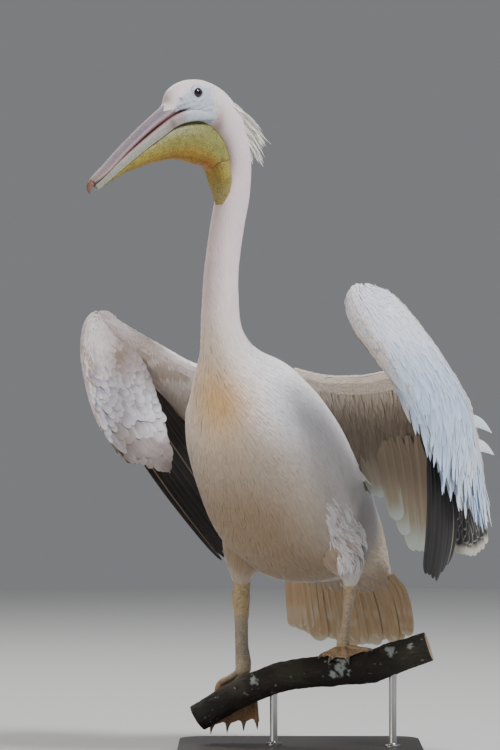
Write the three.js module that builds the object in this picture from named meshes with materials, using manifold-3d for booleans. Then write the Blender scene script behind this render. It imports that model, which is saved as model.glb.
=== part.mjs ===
// A great white pelican, life size, standing tall with half-open wings on a short length of branch.
// The branch is carried by two short rods on a flat base.
// Millimetres, +Z up. +X is the side that the tail points to, and -Y is the side that the breast faces.
// The origin is the centre of the underside of the base.

import * as THREE from 'three';
import { mergeVertices } from 'three/addons/utils/BufferGeometryUtils.js';
import Module from 'manifold-3d';

const wasm = await Module();
wasm.setup();

// ---------------------------------------------------------------- driving dimensions

const GAP = 0.3;                    // clearance between neighbouring pieces
const BODY_TURN = 30;               // degrees that the body is turned toward -X from facing -Y
const HEAD_TURN = 50;               // the same for the head
const BODY_MIDDLE = [-50, -37];     // the point of the body's middle plane that lengths are counted from
const HEAD_MIDDLE = [-214, -250];   // the same for the head: a point between the eyes

const BASE_WIDTH = 520;
const BASE_DEPTH = 440;
const BASE_THICKNESS = 20;
const BASE_CORNER = 60;
const ROD_RADIUS = 8;

const EYE_RADIUS = 10.5;

// ---------------------------------------------------------------- vectors and frames

const at = (x, y, z) => new THREE.Vector3(x, y, z);
const degrees = THREE.MathUtils.degToRad;
const mix = THREE.MathUtils.lerp;

// Sideways direction, toward the bird's left, of something turned by an angle.
function leftOf(turn) {
  return at(Math.cos(degrees(turn)), -Math.sin(degrees(turn)), 0);
}

// Forward direction of something turned by an angle.
function forwardOf(turn) {
  return at(-Math.sin(degrees(turn)), -Math.cos(degrees(turn)), 0);
}

// A point in the body's own frame: forward, to the bird's left, and height over the floor.
function bodyPoint(forward, left, height) {
  const point = at(BODY_MIDDLE[0], BODY_MIDDLE[1], height);
  point.addScaledVector(forwardOf(BODY_TURN), forward);
  return point.addScaledVector(leftOf(BODY_TURN), left);
}

// The same in the head's frame.
function headPoint(forward, left, height) {
  const point = at(HEAD_MIDDLE[0], HEAD_MIDDLE[1], height);
  point.addScaledVector(forwardOf(HEAD_TURN), forward);
  return point.addScaledVector(leftOf(HEAD_TURN), left);
}

// A smooth run of values through a few given ones.
function smoothPoints(points, count) {
  const curve = new THREE.CatmullRomCurve3(points, false, 'centripetal');
  return Array.from({ length: count }, (_, i) => curve.getPoint(i / (count - 1)));
}

// ---------------------------------------------------------------- closed solids from rings and sheets

// Joins rings of equal length into a closed skin, with a fan over each end.
function ringsGeometry(rings) {
  const around = rings[0].length;
  const corners = rings.flat();
  const middleOf = (ring) => ring.reduce((sum, p) => sum.add(p), at(0, 0, 0)).divideScalar(around);
  corners.push(middleOf(rings[0]), middleOf(rings[rings.length - 1]));
  const first = rings.length * around;
  const last = first + 1;
  const faces = [];
  for (let r = 0; r + 1 < rings.length; r += 1) {
    for (let k = 0; k < around; k += 1) {
      const a = r * around + k;
      const b = r * around + (k + 1) % around;
      faces.push(a, b, b + around, a, b + around, a + around);
    }
  }
  const lastRing = (rings.length - 1) * around;
  for (let k = 0; k < around; k += 1) {
    const next = (k + 1) % around;
    faces.push(first, next, k);
    faces.push(last, lastRing + k, lastRing + next);
  }
  return outwardGeometry(corners, faces);
}

// Builds a geometry and turns its faces out if they point in.
function outwardGeometry(corners, faces) {
  let volume = 0;
  const cross = at(0, 0, 0);
  for (let i = 0; i < faces.length; i += 3) {
    const [a, b, c] = [corners[faces[i]], corners[faces[i + 1]], corners[faces[i + 2]]];
    volume += a.dot(cross.crossVectors(b, c));
  }
  const turned = volume < 0 ? faces.slice().reverse() : faces;
  const geometry = new THREE.BufferGeometry();
  const numbers = corners.flatMap((p) => p.toArray());
  geometry.setAttribute('position', new THREE.Float32BufferAttribute(numbers, 3));
  geometry.setIndex(turned);
  return geometry;
}

// A ring of points round a centre. squareness 2 is an ellipse, and more is boxier.
function ring(centre, side, up, halfSide, halfUp, around, squareness = 2) {
  const power = 2 / squareness;
  return Array.from({ length: around }, (_, k) => {
    const angle = (2 * Math.PI * k) / around;
    const c = Math.cos(angle);
    const s = Math.sin(angle);
    const point = centre.clone();
    point.addScaledVector(side, halfSide * Math.sign(c) * Math.abs(c) ** power);
    return point.addScaledVector(up, halfUp * Math.sign(s) * Math.abs(s) ** power);
  });
}

// Spreads a few stations into many, smoothly. A station is a centre, two half sizes and a turn.
function smoothStations(stations, count) {
  const centres = smoothPoints(stations.map((s) => s.centre), count);
  const sizes = smoothPoints(stations.map((s) => at(s.side, s.up, s.turn ?? BODY_TURN)), count);
  return centres.map((centre, i) => {
    const before = centres[Math.max(i - 1, 0)];
    const after = centres[Math.min(i + 1, count - 1)];
    const along = after.clone().sub(before).normalize();
    const side = leftOf(sizes[i].z);
    side.addScaledVector(along, -side.dot(along)).normalize();
    const up = at(0, 0, 0).crossVectors(side, along);
    return { centre, along, side, up, halfSide: sizes[i].x, halfUp: sizes[i].y };
  });
}

function stationRings(stations, around, squareness = 2) {
  return stations.map((s) => ring(s.centre, s.side, s.up, s.halfSide, s.halfUp, around, squareness));
}

// A round or oval limb through a few stations.
function limb(stations, count, around, squareness = 2) {
  return ringsGeometry(stationRings(smoothStations(stations, count), around, squareness));
}

// A thin sheet with a thickness, from a grid of points that runs across and along.
function sheetGeometry(grid, thicknessAt) {
  const across = grid.length;
  const along = grid[0].length;
  const top = [];
  const bottom = [];
  for (let i = 0; i < across; i += 1) {
    for (let j = 0; j < along; j += 1) {
      const u = grid[Math.min(i + 1, across - 1)][j].clone().sub(grid[Math.max(i - 1, 0)][j]);
      const v = grid[i][Math.min(j + 1, along - 1)].clone().sub(grid[i][Math.max(j - 1, 0)]);
      const normal = u.cross(v).normalize();
      const half = thicknessAt(i / (across - 1), j / (along - 1)) / 2;
      top.push(grid[i][j].clone().addScaledVector(normal, half));
      bottom.push(grid[i][j].clone().addScaledVector(normal, -half));
    }
  }
  const corners = top.concat(bottom);
  const under = top.length;
  const faces = [];
  const quad = (a, b, c, d) => faces.push(a, b, c, a, c, d);
  for (let i = 0; i + 1 < across; i += 1) {
    for (let j = 0; j + 1 < along; j += 1) {
      const a = i * along + j;
      const b = a + along;
      quad(a, b, b + 1, a + 1);
      quad(under + a, under + a + 1, under + b + 1, under + b);
    }
  }
  const edge = [];
  for (let i = 0; i < across; i += 1) edge.push(i * along);
  for (let j = 1; j < along; j += 1) edge.push((across - 1) * along + j);
  for (let i = across - 2; i >= 0; i -= 1) edge.push(i * along + along - 1);
  for (let j = along - 2; j > 0; j -= 1) edge.push(j);
  edge.forEach((a, k) => {
    const b = edge[(k + 1) % edge.length];
    quad(b, a, under + a, under + b);
  });
  return outwardGeometry(corners, faces);
}

// A fan of overlapping feathers as one sheet. Each feather runs root, middle, tip, and its tip is rounded.
const STEPS_PER_FEATHER = 3;
const FEATHER_ROWS = 3;

function fan({ root, middle, tip, feathers, notch, thick = [5, 1.6] }) {
  const steps = feathers * STEPS_PER_FEATHER + 1;
  const roots = smoothPoints(root, steps);
  const middles = smoothPoints(middle, steps);
  const tips = smoothPoints(tip, steps);
  const grid = roots.map((start, i) => {
    const swing = 2 * ((i / STEPS_PER_FEATHER) % 1) - 1;
    const corner = i === 0 || i === steps - 1;
    const shorter = corner ? notch : notch * swing * swing;
    const length = start.distanceTo(middles[i]) + middles[i].distanceTo(tips[i]);
    const reach = 1 - shorter / length;
    return Array.from({ length: FEATHER_ROWS }, (_, j) => {
      const t = (j / (FEATHER_ROWS - 1)) * reach;
      const point = start.clone().multiplyScalar((1 - t) ** 2);
      point.addScaledVector(middles[i], 2 * t * (1 - t));
      return point.addScaledVector(tips[i], t * t);
    });
  });
  return sheetGeometry(grid, (u, v) => mix(thick[0], thick[1], v));
}

// A wing's flesh and coverts: sections from a rounded front edge to a thin rear edge.
const FOIL = [[0, 0.34], [0.06, 0.8], [0.2, 1], [0.45, 0.82], [0.75, 0.42], [1, 0.1]];

function foilPanel(sections, count) {
  const fronts = smoothPoints(sections.map((s) => s.front), count);
  const rears = smoothPoints(sections.map((s) => s.rear), count);
  const outs = smoothPoints(sections.map((s) => s.out), count);
  const sizes = smoothPoints(sections.map((s) => at(s.thick, s.camber, 0)), count);
  const rings = fronts.map((front, i) => {
    const chord = rears[i].clone().sub(front);
    const out = outs[i].clone();
    out.addScaledVector(chord, -out.dot(chord) / chord.lengthSq()).normalize();
    const place = ([s, fullness], face) => {
      const lift = sizes[i].y * 4 * s * (1 - s) + (face * fullness * sizes[i].x) / 2;
      return front.clone().addScaledVector(chord, s).addScaledVector(out, lift);
    };
    const over = FOIL.map((f) => place(f, 1));
    const below = FOIL.map((f) => place(f, -1)).reverse();
    return over.concat(below);
  });
  return ringsGeometry(rings);
}

// ---------------------------------------------------------------- joining and cutting

// The geometry with only its positions, and one vertex at each corner.
function merge(geometry) {
  const bare = geometry.clone();
  bare.deleteAttribute('normal');
  bare.deleteAttribute('uv');
  return mergeVertices(bare, 1e-3);
}

function solidOf(geometry) {
  const merged = merge(geometry);
  const vertProperties = new Float32Array(merged.attributes.position.array);
  const triVerts = new Uint32Array(merged.index.array);
  return new wasm.Manifold(new wasm.Mesh({ numProp: 3, vertProperties, triVerts }));
}

function geometryOf(solid) {
  const mesh = solid.getMesh();
  const geometry = new THREE.BufferGeometry();
  geometry.setAttribute('position', new THREE.Float32BufferAttribute(mesh.vertProperties, 3));
  geometry.setIndex(Array.from(mesh.triVerts));
  return geometry;
}

function join(geometries) {
  return geometryOf(geometries.map(solidOf).reduce((sum, solid) => sum.add(solid)));
}

// The same shape, larger by the clearance, as the tool that cuts its neighbours.
function grown(geometry) {
  const bigger = merge(geometry);
  bigger.computeVertexNormals();
  const { position, normal } = bigger.attributes;
  for (let i = 0; i < position.count; i += 1) {
    const x = position.getX(i) + normal.getX(i) * GAP;
    const y = position.getY(i) + normal.getY(i) * GAP;
    const z = position.getZ(i) + normal.getZ(i) * GAP;
    position.setXYZ(i, x, y, z);
  }
  return bigger;
}

// Cuts a piece back where its neighbours are, and keeps the largest part that is left.
function cutBack(geometry, neighbours) {
  const cut = neighbours.reduce((solid, other) => solid.subtract(solidOf(grown(other))), solidOf(geometry));
  return largestPiece(geometryOf(cut));
}

function largestPiece(geometry) {
  const index = geometry.index.array;
  const owner = Array.from({ length: geometry.attributes.position.count }, (_, i) => i);
  const find = (i) => {
    while (owner[i] !== i) {
      owner[i] = owner[owner[i]];
      i = owner[i];
    }
    return i;
  };
  for (let i = 0; i < index.length; i += 3) {
    owner[find(index[i])] = find(index[i + 1]);
    owner[find(index[i + 1])] = find(index[i + 2]);
  }
  const pieces = new Map();
  const point = (i) => at(0, 0, 0).fromBufferAttribute(geometry.attributes.position, i);
  for (let i = 0; i < index.length; i += 3) {
    const piece = find(index[i]);
    const volume = point(index[i]).dot(point(index[i + 1]).cross(point(index[i + 2])));
    const entry = pieces.get(piece) ?? { volume: 0, faces: [] };
    entry.volume += volume;
    entry.faces.push(index[i], index[i + 1], index[i + 2]);
    pieces.set(piece, entry);
  }
  const best = [...pieces.values()].sort((a, b) => b.volume - a.volume)[0];
  const kept = [...new Set(best.faces)];
  const renamed = new Map(kept.map((old, i) => [old, i]));
  return outwardGeometry(kept.map(point), best.faces.map((i) => renamed.get(i)));
}

// ---------------------------------------------------------------- materials

function paint(color, roughness, metalness = 0) {
  return new THREE.MeshStandardMaterial({ color, roughness, metalness });
}

const PLUMAGE = paint('#efe6df', 0.85);
const FACE = paint('#e9e6ea', 0.6);
const EYE = paint('#1b1420', 0.1);
const BILL = paint('#b9a9b3', 0.45);
const NAIL = paint('#8a4a3a', 0.4);
const MANDIBLE = paint('#c9cdbf', 0.45);
const POUCH = paint('#b5a548', 0.5);
const FLIGHT = paint('#242124', 0.6);
const TAIL = paint('#e2d2b4', 0.8);
const LEG = paint('#b99a72', 0.6);
const CLAW = paint('#6c5c4c', 0.4);
const BARK = paint('#4a4036', 0.9);
const STAND = paint('#2e2a28', 0.5);
const ROD = paint('#8a8a88', 0.35, 0.9);

// ---------------------------------------------------------------- body, neck and head

// Stations down the middle of the bird: from the tail's root, through the trunk and up the neck to the brow.
const TRUNK_STATIONS = [
  { centre: bodyPoint(-322, 4, 340), side: 104, up: 7 },
  { centre: bodyPoint(-288, 6, 386), side: 110, up: 28 },
  { centre: bodyPoint(-244, 8, 424), side: 120, up: 64 },
  { centre: bodyPoint(-180, 10, 458), side: 140, up: 106 },
  { centre: bodyPoint(-100, 10, 500), side: 160, up: 146 },
  { centre: bodyPoint(-28, 6, 560), side: 168, up: 162 },
  { centre: bodyPoint(38, 4, 632), side: 164, up: 152 },
  { centre: bodyPoint(97, 2, 700), side: 151, up: 138 },
  { centre: bodyPoint(146, 0, 762), side: 126, up: 114 },
  { centre: bodyPoint(184, -5, 815), side: 82, up: 80 },
  { centre: bodyPoint(208, -6, 862), side: 51, up: 53 },
  { centre: at(-167, -224, 908), side: 40, up: 42 },
  { centre: at(-168, -222, 955), side: 37, up: 38 },
  { centre: at(-167, -212, 1012), side: 35, up: 35 },
  { centre: at(-161, -202, 1070), side: 34, up: 34, turn: 36 },
  { centre: at(-152, -194, 1130), side: 34, up: 34, turn: 41 },
  { centre: at(-143, -190, 1180), side: 33, up: 35, turn: 45 },
  { centre: at(-135, -190, 1245), side: 30, up: 30, turn: 48 },
  { centre: at(-145, -198, 1299), side: 31, up: 33, turn: HEAD_TURN },
  { centre: at(-163, -212, 1336), side: 33, up: 40, turn: HEAD_TURN },
  { centre: headPoint(-36, 0, 1360), side: 34, up: 45, turn: HEAD_TURN },
  { centre: headPoint(0, 0, 1373), side: 34, up: 45, turn: HEAD_TURN },
  { centre: headPoint(36, 0, 1373), side: 31, up: 40, turn: HEAD_TURN },
  { centre: headPoint(62, 0, 1369), side: 25, up: 29, turn: HEAD_TURN },
  { centre: headPoint(72, 0, 1366), side: 14, up: 17, turn: HEAD_TURN },
];
const SPINE_STEPS = 49;
const SPINE_AROUND = 16;
const TRUNK_FULLNESS = 2.2;
// The steps of the spine where one named part ends and the next begins.
const RUMP_END = 8;
const BELLY_END = 14;
const BREAST_END = 20;
const LOWER_NECK_END = 28;
const UPPER_NECK_END = 37;

const spine = smoothStations(TRUNK_STATIONS, SPINE_STEPS);

// The stretch of the body between two steps, drawn in by half the clearance at a shared end.
function spineStretch(from, to) {
  const stretch = spine.slice(from, to + 1).map((s) => ({ ...s, centre: s.centre.clone() }));
  if (from > 0) stretch[0].centre.addScaledVector(stretch[0].along, GAP / 2);
  if (to < spine.length - 1) stretch[stretch.length - 1].centre.addScaledVector(spine[to].along, -GAP / 2);
  return ringsGeometry(stationRings(stretch, SPINE_AROUND, TRUNK_FULLNESS));
}

function wholeSpine() {
  return spineStretch(0, spine.length - 1);
}

// ---------------------------------------------------------------- eyes, bill, pouch and crest

function eyeBall(side) {
  const ball = new THREE.SphereGeometry(EYE_RADIUS, 8, 6);
  const centre = headPoint(25, side * 25, 1391);
  return ball.translate(centre.x, centre.y, centre.z);
}

const UPPER_BILL = [
  { centre: headPoint(48, 0, 1366), side: 22, up: 22, turn: HEAD_TURN },
  { centre: headPoint(74, 0, 1354), side: 21, up: 16, turn: HEAD_TURN },
  { centre: headPoint(136, 0, 1314), side: 18, up: 11, turn: HEAD_TURN },
  { centre: headPoint(201, 0, 1263), side: 17, up: 9, turn: HEAD_TURN },
  { centre: headPoint(248, 0, 1222), side: 18, up: 8, turn: HEAD_TURN },
  { centre: headPoint(276, 0, 1200), side: 13, up: 7, turn: HEAD_TURN },
];
const NAIL_STATIONS = [
  { centre: headPoint(276.4, 0, 1199.6), side: 11, up: 7, turn: HEAD_TURN },
  { centre: headPoint(285, 0, 1190), side: 8, up: 7, turn: HEAD_TURN },
  { centre: headPoint(284, 0, 1176), side: 3, up: 3, turn: HEAD_TURN },
];
// One half of the lower bill, as distance forward, distance from the middle, height and half size.
const JAW = [
  [-22, 27, 1343, 9],
  [44, 26, 1338, 10],
  [79, 24, 1327, 10],
  [114, 22, 1305, 10],
  [158, 19, 1275, 9],
  [204, 15, 1241, 8],
  [242, 10, 1210, 7],
  [270, 3, 1186, 6],
];

function lowerBill() {
  const half = (side) => {
    const stations = JAW.map(([forward, out, height, size]) => {
      return { centre: headPoint(forward, side * out, height), side: size * 0.5, up: size, turn: HEAD_TURN };
    });
    return limb(stations, 14, 8);
  };
  return join([half(1), half(-1)]);
}

const POUCH_STATIONS = [
  { centre: headPoint(262, 0, 1188), side: 3, up: 3, turn: HEAD_TURN },
  { centre: headPoint(193, 0, 1233), side: 12, up: 13, turn: HEAD_TURN },
  { centre: headPoint(127, 0, 1266), side: 18, up: 25, turn: HEAD_TURN },
  { centre: headPoint(61, 0, 1290), side: 24, up: 40, turn: HEAD_TURN },
  { centre: headPoint(-2, 0, 1288), side: 28, up: 48, turn: HEAD_TURN },
  { centre: headPoint(-44, 0, 1254), side: 29, up: 30, turn: HEAD_TURN },
  { centre: headPoint(-60, 0, 1206), side: 27, up: 21, turn: HEAD_TURN },
  { centre: headPoint(-64, 0, 1162), side: 14, up: 13, turn: HEAD_TURN },
];

// Loose plumes from the nape, each root to tip, on a small pad that they share.
const PLUMES = [
  { root: [-96, 4, 1352], tip: [-160, 10, 1340] },
  { root: [-104, -6, 1344], tip: [-178, -14, 1326] },
  { root: [-108, 8, 1334], tip: [-186, 18, 1310] },
  { root: [-110, -3, 1326], tip: [-192, -4, 1296] },
  { root: [-110, 9, 1316], tip: [-186, 20, 1282] },
  { root: [-110, -8, 1308], tip: [-190, -18, 1270] },
  { root: [-108, 2, 1298], tip: [-178, 4, 1254] },
];
const PLUME_WIDTH = 11;
const PLUME_THICKNESS = 2.4;

function crest() {
  const plume = ({ root, tip }) => {
    const start = headPoint(...root);
    const end = headPoint(...tip);
    const middle = start.clone().lerp(end, 0.5);
    middle.z += 5;
    const up = at(0, 0, 1);
    const wide = leftOf(HEAD_TURN);
    const sections = [[start, 0.8], [middle, 1], [end, 0.2]].map(([centre, size]) => {
      return ring(centre, wide, up, PLUME_THICKNESS * size, (PLUME_WIDTH / 2) * size, 6);
    });
    return ringsGeometry(sections);
  };
  const pad = new THREE.SphereGeometry(1, 8, 6);
  pad.scale(14, 14, 24);
  const middle = headPoint(-104, 0, 1322);
  pad.translate(middle.x, middle.y, middle.z);
  return join([pad, ...PLUMES.map(plume)]);
}

// ---------------------------------------------------------------- tail

const TAIL_FEATHERS = 12;
const TAIL_ROOT_WIDTH = 240;
const TAIL_WIDTH = 300;
const TAIL_MIDDLE = 0;                // how far the tail's middle lies to the bird's left

function tailFan() {
  const across = (width, forward, height, sag) => [-1, -0.5, 0, 0.5, 1].map((side) => {
    const rise = sag * side * side;
    return bodyPoint(forward + rise, TAIL_MIDDLE + (side * width) / 2, height + rise);
  });
  return fan({
    root: across(TAIL_ROOT_WIDTH, -296, 372, 0),
    middle: across(mix(TAIL_ROOT_WIDTH, TAIL_WIDTH, 0.7), -340, 300, 6),
    tip: across(TAIL_WIDTH, -368, 216, 30),
    feathers: TAIL_FEATHERS,
    notch: 10,
    thick: [8, 2],
  });
}

// ---------------------------------------------------------------- legs and feet

const LEGS = {
  left: {
    thigh: [
      { centre: at(40, -28, 520), side: 56, up: 60 },
      { centre: at(76, -52, 456), side: 62, up: 64 },
      { centre: at(98, -56, 412), side: 44, up: 44 },
      { centre: at(106, -48, 382), side: 21, up: 22 },
      { centre: at(106, -45, 366), side: 14, up: 15 },
    ],
    shank: [
      { centre: at(106, -45, 365.6), side: 12.5, up: 13.5 },
      { centre: at(105, -43, 350), side: 13.5, up: 14 },
      { centre: at(102, -38, 320), side: 9.5, up: 11.5 },
      { centre: at(98, -32, 280), side: 8.5, up: 11 },
      { centre: at(93, -26, 248), side: 11, up: 13 },
      { centre: at(91, -25, 231), side: 14, up: 14 },
    ],
  },
  right: {
    thigh: [
      { centre: at(-88, 24, 520), side: 56, up: 60 },
      { centre: at(-106, 26, 452), side: 60, up: 64 },
      { centre: at(-118, 36, 412), side: 44, up: 46 },
      { centre: at(-123, 42, 382), side: 26, up: 27 },
      { centre: at(-124, 44, 364), side: 17, up: 18 },
    ],
    shank: [
      { centre: at(-124, 44, 363.6), side: 18.5, up: 18 },
      { centre: at(-126, 46, 330), side: 20, up: 19 },
      { centre: at(-125, 48, 304), side: 17, up: 16 },
      { centre: at(-125, 52, 268), side: 14.5, up: 14 },
      { centre: at(-124, 53, 224), side: 14.5, up: 14 },
      { centre: at(-121, 56, 186), side: 18, up: 17 },
    ],
  },
};

// Toes as ankle, knuckle and end. The left foot lies over the branch and the right one hooks behind it.
const FEET = {
  left: {
    ankle: at(91, -26, 229),
    instep: 14,
    toes: [
      [at(72, -32, 222), at(50, -40, 214)],
      [at(76, -44, 220), at(66, -56, 209)],
      [at(95, -50, 220), at(99, -62, 209)],
      [at(114, -38, 227), at(142, -50, 225)],
    ],
  },
  right: {
    ankle: at(-121, 57, 178),
    instep: 17,
    toes: [
      [at(-98, 62, 146), at(-92, 50, 66)],
      [at(-118, 68, 138), at(-120, 56, 62)],
      [at(-144, 68, 138), at(-154, 56, 58)],
      [at(-172, 58, 144), at(-188, 48, 56)],
    ],
  },
};
const TOE_RADIUS = 7;
const WEB_THICKNESS = 4;
const WEB_NOTCH = 0.06;
const CLAW_LENGTH = 13;
const CLAW_RADIUS = 3.6;

function foot(name) {
  const { ankle, instep: heel, toes } = FEET[name];
  const toe = ([knuckle, end]) => {
    const stations = [ankle, knuckle, end].map((centre, i) => {
      return { centre, side: TOE_RADIUS - i * 0.6, up: TOE_RADIUS - i * 0.6 };
    });
    return limb(stations, 4, 6);
  };
  const web = toes.slice(1).map((_, i) => {
    const [k0, e0] = toes[i];
    const [k1, e1] = toes[i + 1];
    const between = (a, b, pull) => a.clone().lerp(b, 0.5).lerp(ankle, pull);
    const nearAnkle = [0, 0.5, 1].map((t) => ankle.clone().lerp(k0.clone().lerp(k1, t), 0.15));
    const knuckles = [k0, between(k0, k1, 0), k1];
    const ends = [e0, between(e0, e1, WEB_NOTCH), e1];
    const grid = [0, 1, 2].map((side) => [nearAnkle[side], knuckles[side], ends[side]]);
    return sheetGeometry(grid, () => WEB_THICKNESS);
  });
  const instep = new THREE.SphereGeometry(heel, 7, 5).translate(ankle.x, ankle.y, ankle.z);
  return join([instep, ...toes.map(toe), ...web]);
}

function claw([knuckle, end]) {
  const along = end.clone().sub(knuckle).normalize();
  const start = end.clone().addScaledVector(along, GAP * 2);
  const middle = start.clone().addScaledVector(along, CLAW_LENGTH * 0.55);
  const point = start.clone().addScaledVector(along, CLAW_LENGTH);
  point.z -= CLAW_LENGTH * 0.35;
  const stations = [start, middle, point].map((centre, i) => {
    return { centre, side: CLAW_RADIUS * [1, 0.8, 0.2][i], up: CLAW_RADIUS * [1.2, 1, 0.2][i] };
  });
  return limb(stations, 4, 6);
}

// ---------------------------------------------------------------- wings

const LEFT_WING = {
  upperArm: [
    { front: at(-30, -72, 826), rear: at(20, -20, 700), out: at(0, 1, 0.4), thick: 46, camber: 4 },
    { front: at(50, -96, 806), rear: at(70, -52, 640), out: at(0, 1, 0.4), thick: 38, camber: 4 },
    { front: at(130, -118, 806), rear: at(140, -66, 610), out: at(0, 1, 0.3), thick: 32, camber: 4 },
    { front: at(205, -128, 818), rear: at(205, -74, 600), out: at(0, 1, 0.2), thick: 28, camber: 4 },
    { front: at(268, -128, 800), rear: at(262, -78, 600), out: at(0, 1, 0.2), thick: 22, camber: 4 },
  ],
  hand: [
    { front: at(104, -350, 990), rear: at(146, -326, 990), out: at(0.5, -0.2, 1), thick: 14, camber: 2 },
    { front: at(90, -356, 966), rear: at(180, -290, 976), out: at(0.5, -0.5, 0.7), thick: 38, camber: 5 },
    { front: at(106, -352, 908), rear: at(248, -240, 906), out: at(0.6, -0.7, 0.4), thick: 42, camber: 16 },
    { front: at(142, -346, 856), rear: at(298, -214, 838), out: at(0.6, -0.7, 0.3), thick: 38, camber: 22 },
    { front: at(180, -338, 804), rear: at(336, -196, 778), out: at(0.6, -0.7, 0.2), thick: 32, camber: 26 },
    { front: at(222, -332, 740), rear: at(358, -190, 716), out: at(0.6, -0.7, 0.1), thick: 26, camber: 26 },
    { front: at(262, -322, 676), rear: at(372, -190, 650), out: at(0.6, -0.7, 0), thick: 18, camber: 22 },
    { front: at(320, -290, 606), rear: at(382, -196, 580), out: at(0.6, -0.7, 0), thick: 10, camber: 14 },
    { front: at(370, -252, 545), rear: at(396, -206, 510), out: at(0.6, -0.7, 0), thick: 6, camber: 8 },
    { front: at(390, -232, 474), rear: at(406, -214, 452), out: at(0.6, -0.7, 0), thick: 3, camber: 2 },
  ],
  forearm: [
    { front: at(128, -318, 952), rear: at(140, -300, 880), out: at(0.7, 0.3, 0.5), thick: 26, camber: 2 },
    { front: at(166, -276, 912), rear: at(196, -246, 800), out: at(0.7, 0.3, 0.4), thick: 34, camber: 6 },
    { front: at(212, -224, 868), rear: at(250, -190, 720), out: at(0.7, 0.4, 0.3), thick: 36, camber: 8 },
    { front: at(256, -172, 824), rear: at(292, -140, 660), out: at(0.7, 0.5, 0.3), thick: 38, camber: 10 },
    { front: at(286, -128, 794), rear: at(312, -98, 640), out: at(0.7, 0.6, 0.3), thick: 34, camber: 8 },
    { front: at(296, -104, 776), rear: at(312, -78, 660), out: at(0.7, 0.6, 0.3), thick: 20, camber: 4 },
  ],
  primaries: {
    root: [at(196, -306, 720), at(226, -292, 690), at(244, -270, 660)],
    middle: [at(266, -312, 580), at(300, -294, 560), at(318, -262, 550)],
    tip: [at(248, -268, 398), at(272, -258, 392), at(292, -236, 408)],
    feathers: 5,
    notch: 16,
  },
  secondaries: {
    root: [at(246, -226, 700), at(280, -180, 690), at(304, -130, 680)],
    middle: [at(284, -222, 570), at(330, -180, 560), at(352, -130, 560)],
    tip: [at(318, -212, 444), at(352, -180, 436), at(388, -132, 452)],
    feathers: 6,
    notch: 12,
  },
  tertials: {
    root: [at(100, -76, 700), at(170, -84, 690), at(250, -92, 680)],
    middle: [at(136, -68, 600), at(196, -74, 590), at(258, -84, 580)],
    tip: [at(170, -62, 548), at(216, -66, 478), at(266, -78, 440)],
    feathers: 5,
    notch: 14,
  },
};

const RIGHT_WING = {
  upperArm: [
    { front: at(-170, -14, 808), rear: at(-140, 100, 700), out: at(-0.3, 0.6, 0.7), thick: 44, camber: 4 },
    { front: at(-232, -20, 832), rear: at(-190, 136, 690), out: at(-0.3, 0.6, 0.7), thick: 38, camber: 6 },
    { front: at(-292, -36, 866), rear: at(-230, 142, 686), out: at(-0.3, 0.7, 0.6), thick: 36, camber: 8 },
    { front: at(-346, -56, 898), rear: at(-262, 136, 690), out: at(-0.3, 0.8, 0.5), thick: 34, camber: 10 },
    { front: at(-400, -80, 930), rear: at(-290, 110, 704), out: at(-0.3, 0.8, 0.5), thick: 30, camber: 10 },
    { front: at(-430, -94, 940), rear: at(-330, 70, 740), out: at(-0.3, 0.8, 0.5), thick: 20, camber: 6 },
  ],
  hand: [
    { front: at(-440, -98, 942), rear: at(-396, -78, 938), out: at(-0.4, 0.6, 0.8), thick: 14, camber: 2 },
    { front: at(-456, -100, 908), rear: at(-372, -44, 898), out: at(-0.5, 0.8, 0.4), thick: 36, camber: 6 },
    { front: at(-460, -100, 850), rear: at(-340, -14, 836), out: at(-0.5, 0.9, 0.2), thick: 38, camber: 10 },
    { front: at(-450, -98, 786), rear: at(-316, 14, 770), out: at(-0.5, 0.9, 0.1), thick: 34, camber: 12 },
    { front: at(-432, -90, 722), rear: at(-300, 28, 704), out: at(-0.5, 0.9, 0), thick: 28, camber: 12 },
    { front: at(-402, -74, 662), rear: at(-292, 34, 654), out: at(-0.5, 0.9, 0), thick: 18, camber: 10 },
    { front: at(-366, -50, 616), rear: at(-304, 20, 620), out: at(-0.5, 0.9, 0), thick: 8, camber: 6 },
  ],
  primaries: {
    root: [at(-396, -58, 700), at(-362, -14, 730), at(-326, 22, 790)],
    middle: [at(-322, 20, 590), at(-280, 66, 620), at(-234, 104, 680)],
    tip: [at(-164, 150, 404), at(-148, 182, 440), at(-138, 206, 510)],
    feathers: 6,
    notch: 16,
  },
  secondaries: {
    root: [at(-322, 52, 780), at(-276, 92, 776), at(-216, 122, 770)],
    middle: [at(-244, 110, 654), at(-206, 148, 660), at(-156, 176, 668)],
    tip: [at(-148, 218, 504), at(-124, 232, 540), at(-96, 242, 590)],
    feathers: 6,
    notch: 12,
  },
};

// ---------------------------------------------------------------- perch and stand

const PERCH_STATIONS = [
  { centre: at(-218, 30, 74), side: 30, up: 29 },
  { centre: at(-170, 20, 104), side: 31, up: 30 },
  { centre: at(-100, 4, 141), side: 32, up: 31 },
  { centre: at(-27, -10, 168), side: 33, up: 32 },
  { centre: at(71, -28, 180), side: 35, up: 34 },
  { centre: at(150, -40, 189), side: 36, up: 34 },
  { centre: at(200, -48, 208), side: 35, up: 33 },
  { centre: at(272, -56, 232), side: 33, up: 32 },
];

function perchBranch() {
  return limb(PERCH_STATIONS, 13, 10);
}

// Each rod runs up into the branch, which cuts it off at its own underside.
const RODS = { left: [196, -47, 178], right: [-56, -1, 130] };

function rod(name) {
  const [x, y, height] = RODS[name];
  const tube = new THREE.CylinderGeometry(ROD_RADIUS, ROD_RADIUS, height, 16);
  tube.rotateX(Math.PI / 2);
  return tube.translate(x, y, BASE_THICKNESS + GAP + height / 2);
}

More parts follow.
